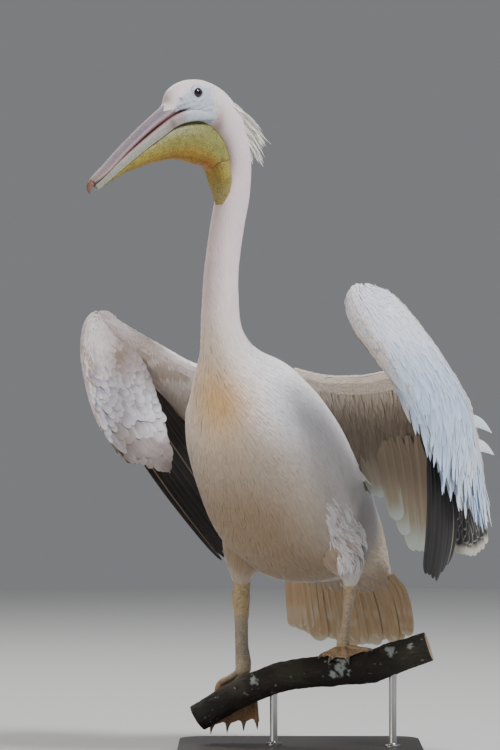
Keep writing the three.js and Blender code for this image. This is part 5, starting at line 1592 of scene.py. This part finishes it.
TAIL_ROOT_WIDTH, TAIL_WIDTH = 240, 300
TAIL_PLACES = (-0.12, 0.2, 0.5, 0.75, 1.0)
tail_middle_width = TAIL_ROOT_WIDTH + 0.7 * (TAIL_WIDTH - TAIL_ROOT_WIDTH)
for name, half_of in (("tail_feathers_left", 1), ("tail_feathers_right", -1)):
    def half_tail(width, forward, height, sag):
        return [body_point(forward + sag * s * s, half_of * s * width / 2, height + sag * s * s)
                for s in reversed(TAIL_PLACES)]
    vane_fan(name, half_tail(TAIL_ROOT_WIDTH, -292, 376, 0), half_tail(tail_middle_width, -338, 300, 6),
             half_tail(TAIL_WIDTH - 30, -368, 212, 30), 10, 22, (0.0, 1.0, 0.6), tail_vane, tail_feather, "tail",
             ("tail",) if half_of == 1 else (), seed=41 + half_of, tilt=0.03 * half_of, step=0.6, uneven=7.0)

vane_fan("wing_left_primary_feathers", [(262, -292, 680), (268, -284, 672), (274, -272, 664)],
         [(276, -308, 530), (308, -292, 522), (334, -266, 518)], [(256, -268, 392), (274, -258, 388), (293, -238, 408)],
         6, 10, (-0.3, -1, 0.2), black_vane_first_last, flight_feather, "flight", ("wing_left_primaries",), seed=51,
         pointed=0.15, uneven=7, tilt=0.35, step=1.6)
vane_fan("wing_left_secondary_feathers", [(266, -226, 680), (290, -190, 680), (310, -140, 670)],
         [(296, -222, 560), (334, -184, 560), (352, -138, 560)], [(322, -212, 438), (352, -180, 430), (386, -136, 446)],
         9, 15, (0.3, -1, 0.2), fringed_vane, flight_feather, "flight", ("wing_left_secondaries",), seed=52, uneven=5,
         tilt=0.2)
vane_fan("wing_left_tertials_short", [(104, -78, 690), (130, -82, 690), (156, -84, 690)],
         [(140, -70, 610), (160, -72, 606), (178, -74, 606)], [(166, -62, 552), (176, -64, 544), (192, -66, 552)],
         3, 17, (0, -1, 0.2), white_vane_in_shade, body_plumage, "plumage", ("wing_left_tertials",), seed=53, uneven=5,
         tilt=0.16, step=1.4)
vane_fan("wing_left_tertials_long", [(170, -92, 680), (206, -96, 680), (246, -102, 680)],
         [(190, -84, 580), (226, -88, 570), (258, -94, 560)], [(206, -74, 492), (238, -78, 452), (268, -86, 436)],
         5, 19, (0, -1, 0.2), white_vane_in_shade, body_plumage, "plumage", (), seed=56, uneven=9, tilt=0.14, step=1.4)
# Rows of short dark feathers with pale rims lie like tiles over the left secondaries.
FAN_ROOT, FAN_MIDDLE, FAN_TIP = ([(262, -236, 690), (286, -206, 686), (310, -150, 676)],
                                 [(292, -232, 562), (326, -196, 562), (352, -148, 562)],
                                 [(318, -220, 440), (350, -190, 432), (386, -144, 448)])
RIMMED = ((0, 0.3, 0.6, 0.82, 0.93, 0.985, 1.0), (0.7, 0.95, 1.0, 0.95, 0.75, 0.42, 0.2))
RIM_VANE = [(-1, 0), (-0.82, 0.4), (-0.45, 0.8), (0, 1), (0.45, 0.8), (0.82, 0.4), (1, 0)]
shake = np.random.default_rng(58)
tile_paths, tile_ups = [], []
for k, reach in enumerate((0.28, 0.36, 0.44, 0.53, 0.62, 0.70, 0.78, 0.86, 0.93)):
    lots = 9
    place = (np.arange(lots) + 0.5 * (k % 2) + 0.15 * shake.standard_normal(lots)) / (lots - 0.5)
    place = np.clip(place, 0, 1)
    ends = reach + 0.018 * shake.standard_normal(lots)
    along_vane = ends[:, None] - 0.30 * (1 - np.array(RIMMED[0]))[None, :]
    corners = [np.stack([np.interp(place, (0, 0.5, 1), [p[i] for p in points]) for i in range(3)], -1)[:, None]
               for points in (FAN_ROOT, FAN_MIDDLE, FAN_TIP)]
    w = along_vane[..., None]
    tile = corners[0] * (1 - w) ** 2 + 2 * corners[1] * w * (1 - w) + corners[2] * w * w
    facing = unit(np.array([0.30, -1.0, 0.25]))
    tile_paths.append(tile + facing * (3.0 + 1.2 * (9 - k) + 1.2 * np.array(RIMMED[0])[None, :, None]))
    tile_ups.append(np.broadcast_to(unit(facing + np.array([0.18, 0, 0])), tile.shape))
path, up = np.concatenate(tile_paths), np.concatenate(tile_ups)
half = (10.5 + 1.2 * shake.standard_normal(len(path)))[:, None] * np.array(RIMMED[1])
rim = np.array([1.0, 0.12, 0, 0, 0, 0.12, 1.0])[None, None, :] * soft_step(np.array(RIMMED[0]), 0.2, 0.6)[None, :, None]
rim = np.maximum(rim, soft_step(np.array(RIMMED[0]), 0.95, 0.99)[None, :, None])
colours = blended(filled([0.028, 0.024, 0.026], (*path.shape[:2], 7, 3)), [0.42, 0.39, 0.35],
                  rim * (0.45 + 0.45 * shake.random(len(path)))[:, None, None])
fitted(feather_mesh("wing_left_rimmed_rows", path, up, half, 0.03 * half + 0.2, RIM_VANE, colours, None,
                    flight_feather, 0.12), "flight")
# Two pale leaf-shaped feathers stand out past the outline of the left wing.
times = np.linspace(0, 1, 9)[None, :, None]
starts, ends = np.array([(346, -176, 716), (352, -176, 664)]), np.array([(398, -184, 686), (403, -184, 640)])
path = starts[:, None] * (1 - times) + ends[:, None] * times + np.array([0, 0, 6.0]) * np.sin(times * np.pi)
up = np.broadcast_to(unit(np.array([0.1, -1.0, 0.25])), path.shape)
half = np.array([[0.5, 0.8, 1, 1, 0.9, 0.74, 0.52, 0.28, 0.04]]) * np.array([[12.0], [13.0]])
colours = filled([0.72, 0.79, 0.82], path.shape)
fitted(feather_mesh("wing_left_leaf_feathers", path, up, half, 0.06 * half + 0.2, DISHED, colours, None, body_plumage,
                    0.05), "plumage")
vane_fan("wing_right_primary_feathers", [(-372, -6, 704), (-348, 8, 730), (-320, 30, 790)],
         [(-314, 40, 590), (-280, 66, 620), (-234, 104, 680)], [(-164, 150, 402), (-148, 182, 438), (-138, 206, 508)],
         8, 15, (-0.3, -1, 0.2), black_vane, flight_feather, "flight", ("wing_right_primaries",), seed=54, pointed=0.4,
         uneven=6, tilt=-0.15, step=-0.9)
vane_fan("wing_right_secondary_feathers", [(-322, 52, 780), (-276, 92, 776), (-216, 122, 770)],
         [(-244, 110, 654), (-206, 148, 660), (-156, 176, 668)], [(-148, 218, 502), (-124, 232, 538), (-96, 242, 588)],
         9, 16, (-0.3, -1, 0.2), black_vane, flight_feather, "flight", ("wing_right_secondaries",), seed=55, uneven=6,
         tilt=-0.15, step=-0.9)


# ---------------------------------------------------------------- wing coverts
# Rows of small feathers over each wing panel: smooth and short at the wrist, long narrow
# points down the back of the left hand, rounded scales under the right one, and soft
# streaks under both arms.
PANEL_COAT, EDGE_COAT, BARE_WRIST = 2.2, 1.4, 0.015


def grow_panel(name, sections, face, gaps, shape, cross, size_of, way_of, colour_of, seed, room=6.0):
    over, under = panel_grids(sections, least=3.0)
    grid, facing = (over, over - under) if face == "over" else (under, under - over)
    return coat(name, grid, facing, False, gaps, shape, cross, size_of, way_of, colour_of, seed,
                keep=lambda spot, run, across: run > BARE_WRIST, depth_of=lambda p: np.full(len(p), PANEL_COAT),
                hang=5.0, cup=0.06, room=room, sheet=(0.0, 0.5) if face == "over" else (0.5, 1.0))


def grow_edge(name, sections, size_of, colour_of, seed, back=0.15, reach=6, last=0.97):
    """Small feathers laid along the front edge of a panel, where its two faces meet."""
    over, under = panel_grids(sections, least=3.0)
    grid = np.concatenate([over[:, reach::-1], under[:, :reach + 1]], 1)
    core = (over[:, reach + 2] + under[:, reach + 2]) / 2
    return coat(name, grid, grid - core[:, None], False, even(6.0, 3.2), HAIR, RIDGE, size_of,
                lambda spot, down, width, run, across, shake, out: down + (width * (np.sign(across - 0.5) * back
                + 0.06 * shake.standard_normal(len(spot)))[:, None]), colour_of, seed,
                keep=lambda spot, run, across: (run > 0.05) & (run < last),
                depth_of=lambda p: np.full(len(p), EDGE_COAT),
                hang=4.0, room=2.0, sheet=(0.0, 1.0))


def edge_size(spot, run, across, shake):
    n = len(spot)
    short = 0.3 + 0.7 * soft_step(run, 0.0, 0.14)
    return (17 + 8 * shake.random(n)) * short, 2.0 + 0.6 * shake.random(n), 0.1 + 0.8 * shake.random(n) * short


def along_panel(values, path):
    return values[:, None] * np.ones(path.shape[1])


def left_hand_size(spot, run, across, shake):
    n = len(spot)
    length = np.interp(run, (0, 0.05, 0.12, 0.26, 0.42, 0.8, 1), (8, 15, 24, 62, 104, 112, 80)) * (0.85 + 0.3
                                                                                                   * shake.random(n))
    half = np.interp(run, (0, 0.12, 0.26, 0.45, 1), (1.9, 2.4, 4.2, 6.6, 6.8)) * (0.8 + 0.4 * shake.random(n))
    lifted = 0.2 + 0.7 * shake.random(n) + 3.4 * shake.random(n) * soft_step(run, 0.3, 0.6)
    return length, half, lifted


def left_hand_way(spot, down, width, run, across, shake, out):
    slant = -0.50 * soft_step(run, 0.10, 0.45) * (0.35 + 0.65 * soft_step(across, 0.05, 0.4))
    return down + width * (slant + 0.06 * shake.standard_normal(len(spot)))[:, None]


def left_hand_colour(path, spot, run, across, shake):
    # Painted light: the white coverts are painted blue, as the cast of sky light, more so down the hand.
    colour = blended(filled([0.80, 0.79, 0.87], path.shape), [0.60, 0.71, 0.88],
                     along_panel(soft_step(run, 0.12, 0.4), path))
    colour = blended(colour, [0.90, 0.91, 0.93], along_panel(0.8 * soft_step(spot[:, 0], 290, 350)
                                                             * soft_step(value_noise(spot, 60, 2), -0.1, 0.3), path))
    buff = soft_step(0.16 - across, 0, 0.08) * soft_step(run, 0.1, 0.3) * (1 - soft_step(run, 0.66, 0.74))
    colour = blended(colour, [0.70, 0.58, 0.46], 0.7 * along_panel(buff, path))
    # Painted shade: each long covert's hidden part is painted dark blue as shadow between them, and one side of each is
    # painted as the shadow it lies in.
    deep = along_panel(soft_step(run, 0.16, 0.4), path)
    colour = blended(colour, [0.22, 0.30, 0.46], 0.85 * deep * np.interp(LANCE[0], (0.5, 0.95), (1, 0))[None, :]
                     * (0.3 + 0.7 * shake.random(len(path)))[:, None])
    colour = shaded(colour, shake, LANCE[0], 0.07, 0.96, 1.06)
    sided = colour[:, :, None] * np.ones(3)[:, None]
    return blended(sided, [0.28, 0.37, 0.54], deep[..., None] * np.array([0.65, 0.0, 0.25]))


grow_panel("coverts_left_hand", LEFT_HAND, "over", (lambda r: np.interp(r, (0, 0.15, 0.3, 0.5, 1), (5, 8, 15, 22, 22)),
           lambda r: np.interp(r, (0, 0.15, 0.3, 0.5, 1), (3.0, 3.6, 5.0, 6.4, 6.4))), LANCE, RIDGE,
           left_hand_size, left_hand_way, left_hand_colour, 61, room=14.0)


def left_edge_colour(path, spot, run, across, shake):
    colour = blended(filled([0.82, 0.78, 0.80], path.shape), [0.72, 0.60, 0.46],
                     along_panel(0.8 * soft_step(run, 0.12, 0.3), path))
    colour = blended(colour, [0.50, 0.36, 0.24], along_panel(0.6 * soft_step(value_noise(spot, 20, 2), 0.05, 0.4)
                                                             * soft_step(run, 0.2, 0.3), path))
    return shaded(colour, shake, HAIR[0], 0.06)


grow_edge("coverts_left_edge", LEFT_HAND, edge_size, left_edge_colour, 67)


def plain_size(small, large, half_small, half_large, lift=0.9):
    def size_of(spot, run, across, shake):
        n = len(spot)
        grow = soft_step(across, 0.0, 0.8)
        return ((small + (large - small) * grow) * (0.8 + 0.4 * shake.random(n)),
                (half_small + (half_large - half_small) * grow) * (0.85 + 0.3 * shake.random(n)),
                0.2 + lift * shake.random(n))
    return size_of


def chord_way(lean):
    def way_of(spot, down, width, run, across, shake, out):
        return width + down * (lean + 0.06 * shake.standard_normal(len(spot)))[:, None]
    return way_of


def streaked(top, low, times, spread=0.05):
    def colour_of(path, spot, run, across, shake):
        colour = blended(filled(top, path.shape), low, along_panel(soft_step(across, 0.12, 0.5), path))
        return shaded(colour, shake, times, spread)
    return colour_of


def left_arm_colour(path, spot, run, across, shake):
    # Painted shade: the pale underside of the left arm lies in the hand's shadow, so its cream band is painted dull and
    # the feathers below it dark brown, in streaks.
    colour = blended(filled([0.46, 0.385, 0.31], path.shape), [0.115, 0.085, 0.058],
                     along_panel(soft_step(across, 0.16, 0.42), path))
    streak = 0.5 + 0.5 * value_noise(spot * np.array([1.0, 1.0, 0.12]), 13, 2)
    colour = blended(colour, [0.31, 0.25, 0.19], along_panel(0.7 * np.clip(streak, 0, 1) * soft_step(across, 0.2, 0.4),
                                                             path))
    return shaded(colour, shake, LANCE[0], 0.06)


grow_panel("coverts_left_arm_front", LEFT_ARM, "under", even(7.0, 5.0), LANCE, RIDGE,
           plain_size(24, 84, 2.2, 3.6), chord_way(0.12), left_arm_colour, 62, room=30.0)
grow_panel("coverts_left_arm_back", LEFT_ARM, "over", even(10.0, 10.0), ROUND, DISHED,
           plain_size(24, 60, 5.0, 9.0), chord_way(0.25), streaked([0.80, 0.79, 0.80], [0.78, 0.77, 0.76], ROUND[0]),
           63, room=10.0)
grow_panel("coverts_left_forearm", LEFT_FOREARM, "over", even(10.0, 10.0), ROUND, DISHED,
           plain_size(20, 60, 5.0, 9.0), chord_way(0.25), streaked([0.80, 0.79, 0.82], [0.74, 0.75, 0.78], ROUND[0]),
           64, room=10.0)
grow_panel("coverts_left_forearm_under", LEFT_FOREARM, "under", even(8.0, 6.0), LANCE, RIDGE,
           plain_size(20, 55, 2.4, 4.0), chord_way(0.2), left_arm_colour, 65)
grow_panel("coverts_left_hand_under", LEFT_HAND, "under", even(10.0, 8.0), ROUND, RIDGE,
           plain_size(22, 50, 4.0, 7.0), chord_way(0.9), streaked([0.76, 0.72, 0.66], [0.62, 0.56, 0.50], ROUND[0]), 66)


def right_hand_size(spot, run, across, shake):
    n = len(spot)
    grow = soft_step(across, 0.0, 0.35)
    length = np.interp(run, (0, 0.08, 0.2, 0.42, 0.7, 1), (6, 12, 20, 36, 60, 74)) * (0.85 + 0.3
                                                                                      * shake.random(n)) * (0.5 + 0.5
                                                                                                            * grow)
    half = np.interp(run, (0, 0.2, 0.42, 0.7, 1), (2.2, 3.0, 8.0, 12.5, 13.0)) * (0.85 + 0.3
                                                                                  * shake.random(n)) * (0.35 + 0.65
                                                                                                        * grow)
    return length, half, 0.2 + 0.9 * shake.random(n) + 5.0 * shake.random(n) * soft_step(run, 0.3, 0.6)


def right_hand_way(spot, down, width, run, across, shake, out):
    return down * 0.8 + width * (0.55 * soft_step(across, -0.1, 0.3) + 0.12 * shake.standard_normal(len(spot)))[:, None]


def right_hand_colour(path, spot, run, across, shake):
    colour = blended(filled([0.84, 0.76, 0.77], path.shape), [0.76, 0.76, 0.82],
                     along_panel(0.8 * soft_step(run, 0.35, 0.55), path))
    valley = np.exp(-((spot[:, 0] + 398) / 20) ** 2 - ((spot[:, 2] - 858) / 36) ** 2)
    outer = soft_step(-spot[:, 0], 426, 452) * np.exp(-((spot[:, 2] - 820) / 62) ** 2)
    smudge = np.maximum(valley, outer) * (0.5 + soft_step(value_noise(spot, 24, 3), -0.3, 0.3))
    colour = blended(colour, [0.40, 0.29, 0.21], along_panel(np.clip(0.7 * smudge, 0, 0.85), path))
    # Painted shade: each rounded covert is painted bluish dark at its base, where the next row's shadow falls, by a
    # random amount.
    deep = along_panel(soft_step(run, 0.3, 0.5), path)
    shadow_strength = (0.35 + 0.65 * shake.random(len(path)))[:, None]
    colour = blended(colour, [0.26, 0.25, 0.35], 0.9 * deep * shadow_strength * np.interp(ROUND[0], (0.5, 0.9), (1, 0))[None, :])
    # The last rows are grey-brown, and are also painted darker as shade below the lit part of the hand.
    last = soft_step(run, 0.64, 0.74) * soft_step(across, 0.05, 0.3)
    colour = blended(colour, [0.40, 0.325, 0.30], along_panel(0.8 * last, path))
    return shaded(colour, shake, ROUND[0], 0.05, 0.97, 1.05)


grow_panel("coverts_right_hand_front", RIGHT_HAND, "under",
           (lambda r: np.interp(r, (0, 0.25, 0.5, 1), (5, 6.5, 12, 17)),
            lambda r: np.interp(r, (0, 0.25, 0.5, 1), (3.2, 4.2, 9.5, 13))),
           ROUND, DISHED, right_hand_size, right_hand_way, right_hand_colour, 71, room=0.0)


def right_edge_colour(path, spot, run, across, shake):
    colour = filled([0.82, 0.76, 0.77], path.shape)
    smudge = soft_step(value_noise(spot, 50, 2), -0.05, 0.35) * soft_step(run, 0.15, 0.3)
    return shaded(blended(colour, [0.50, 0.38, 0.30], along_panel(0.5 * smudge, path)), shake, HAIR[0], 0.05)


grow_edge("coverts_right_edge", RIGHT_HAND, edge_size, right_edge_colour, 77, last=0.74)
grow_edge("coverts_right_arm_edge", RIGHT_ARM, edge_size, right_edge_colour, 78, reach=7, last=0.88)
# The left arm's edge feathers are painted darker toward the underside, as the same painted shade.
grow_edge("coverts_left_arm_edge", LEFT_ARM, edge_size, streaked([0.70, 0.64, 0.58], [0.56, 0.48, 0.40], HAIR[0]), 68,
          reach=7)


def right_arm_colour(path, spot, run, across, shake):
    colour = blended(filled([0.82, 0.76, 0.74], path.shape), [0.60, 0.50, 0.43],
                     along_panel(soft_step(across, 0.2, 0.6), path))
    smudge = soft_step(value_noise(spot, 50, 2), -0.1, 0.3) * soft_step(across, 0.05, 0.2)
    colour = blended(colour, [0.38, 0.28, 0.20], along_panel(0.65 * smudge, path))
    return shaded(colour, shake, LANCE[0], 0.06)


grow_panel("coverts_right_arm_front", RIGHT_ARM, "under", even(7.0, 5.0), LANCE, RIDGE,
           plain_size(18, 50, 2.4, 4.4), chord_way(0.15), right_arm_colour, 72)
grow_panel("coverts_right_arm_back", RIGHT_ARM, "over", even(10.0, 10.0), ROUND, DISHED,
           plain_size(24, 66, 5.0, 10.0), chord_way(0.25), streaked([0.80, 0.79, 0.80], [0.76, 0.76, 0.78], ROUND[0]),
           73)
grow_panel("coverts_right_hand_back", RIGHT_HAND, "over", even(9.0, 7.0), LANCE, RIDGE,
           plain_size(20, 66, 3.5, 6.0), chord_way(0.9), streaked([0.78, 0.76, 0.80], [0.60, 0.56, 0.55], LANCE[0]),
           74, room=0.0)


# ---------------------------------------------------------------- end
bpy.ops.object.select_all(action="DESELECT")
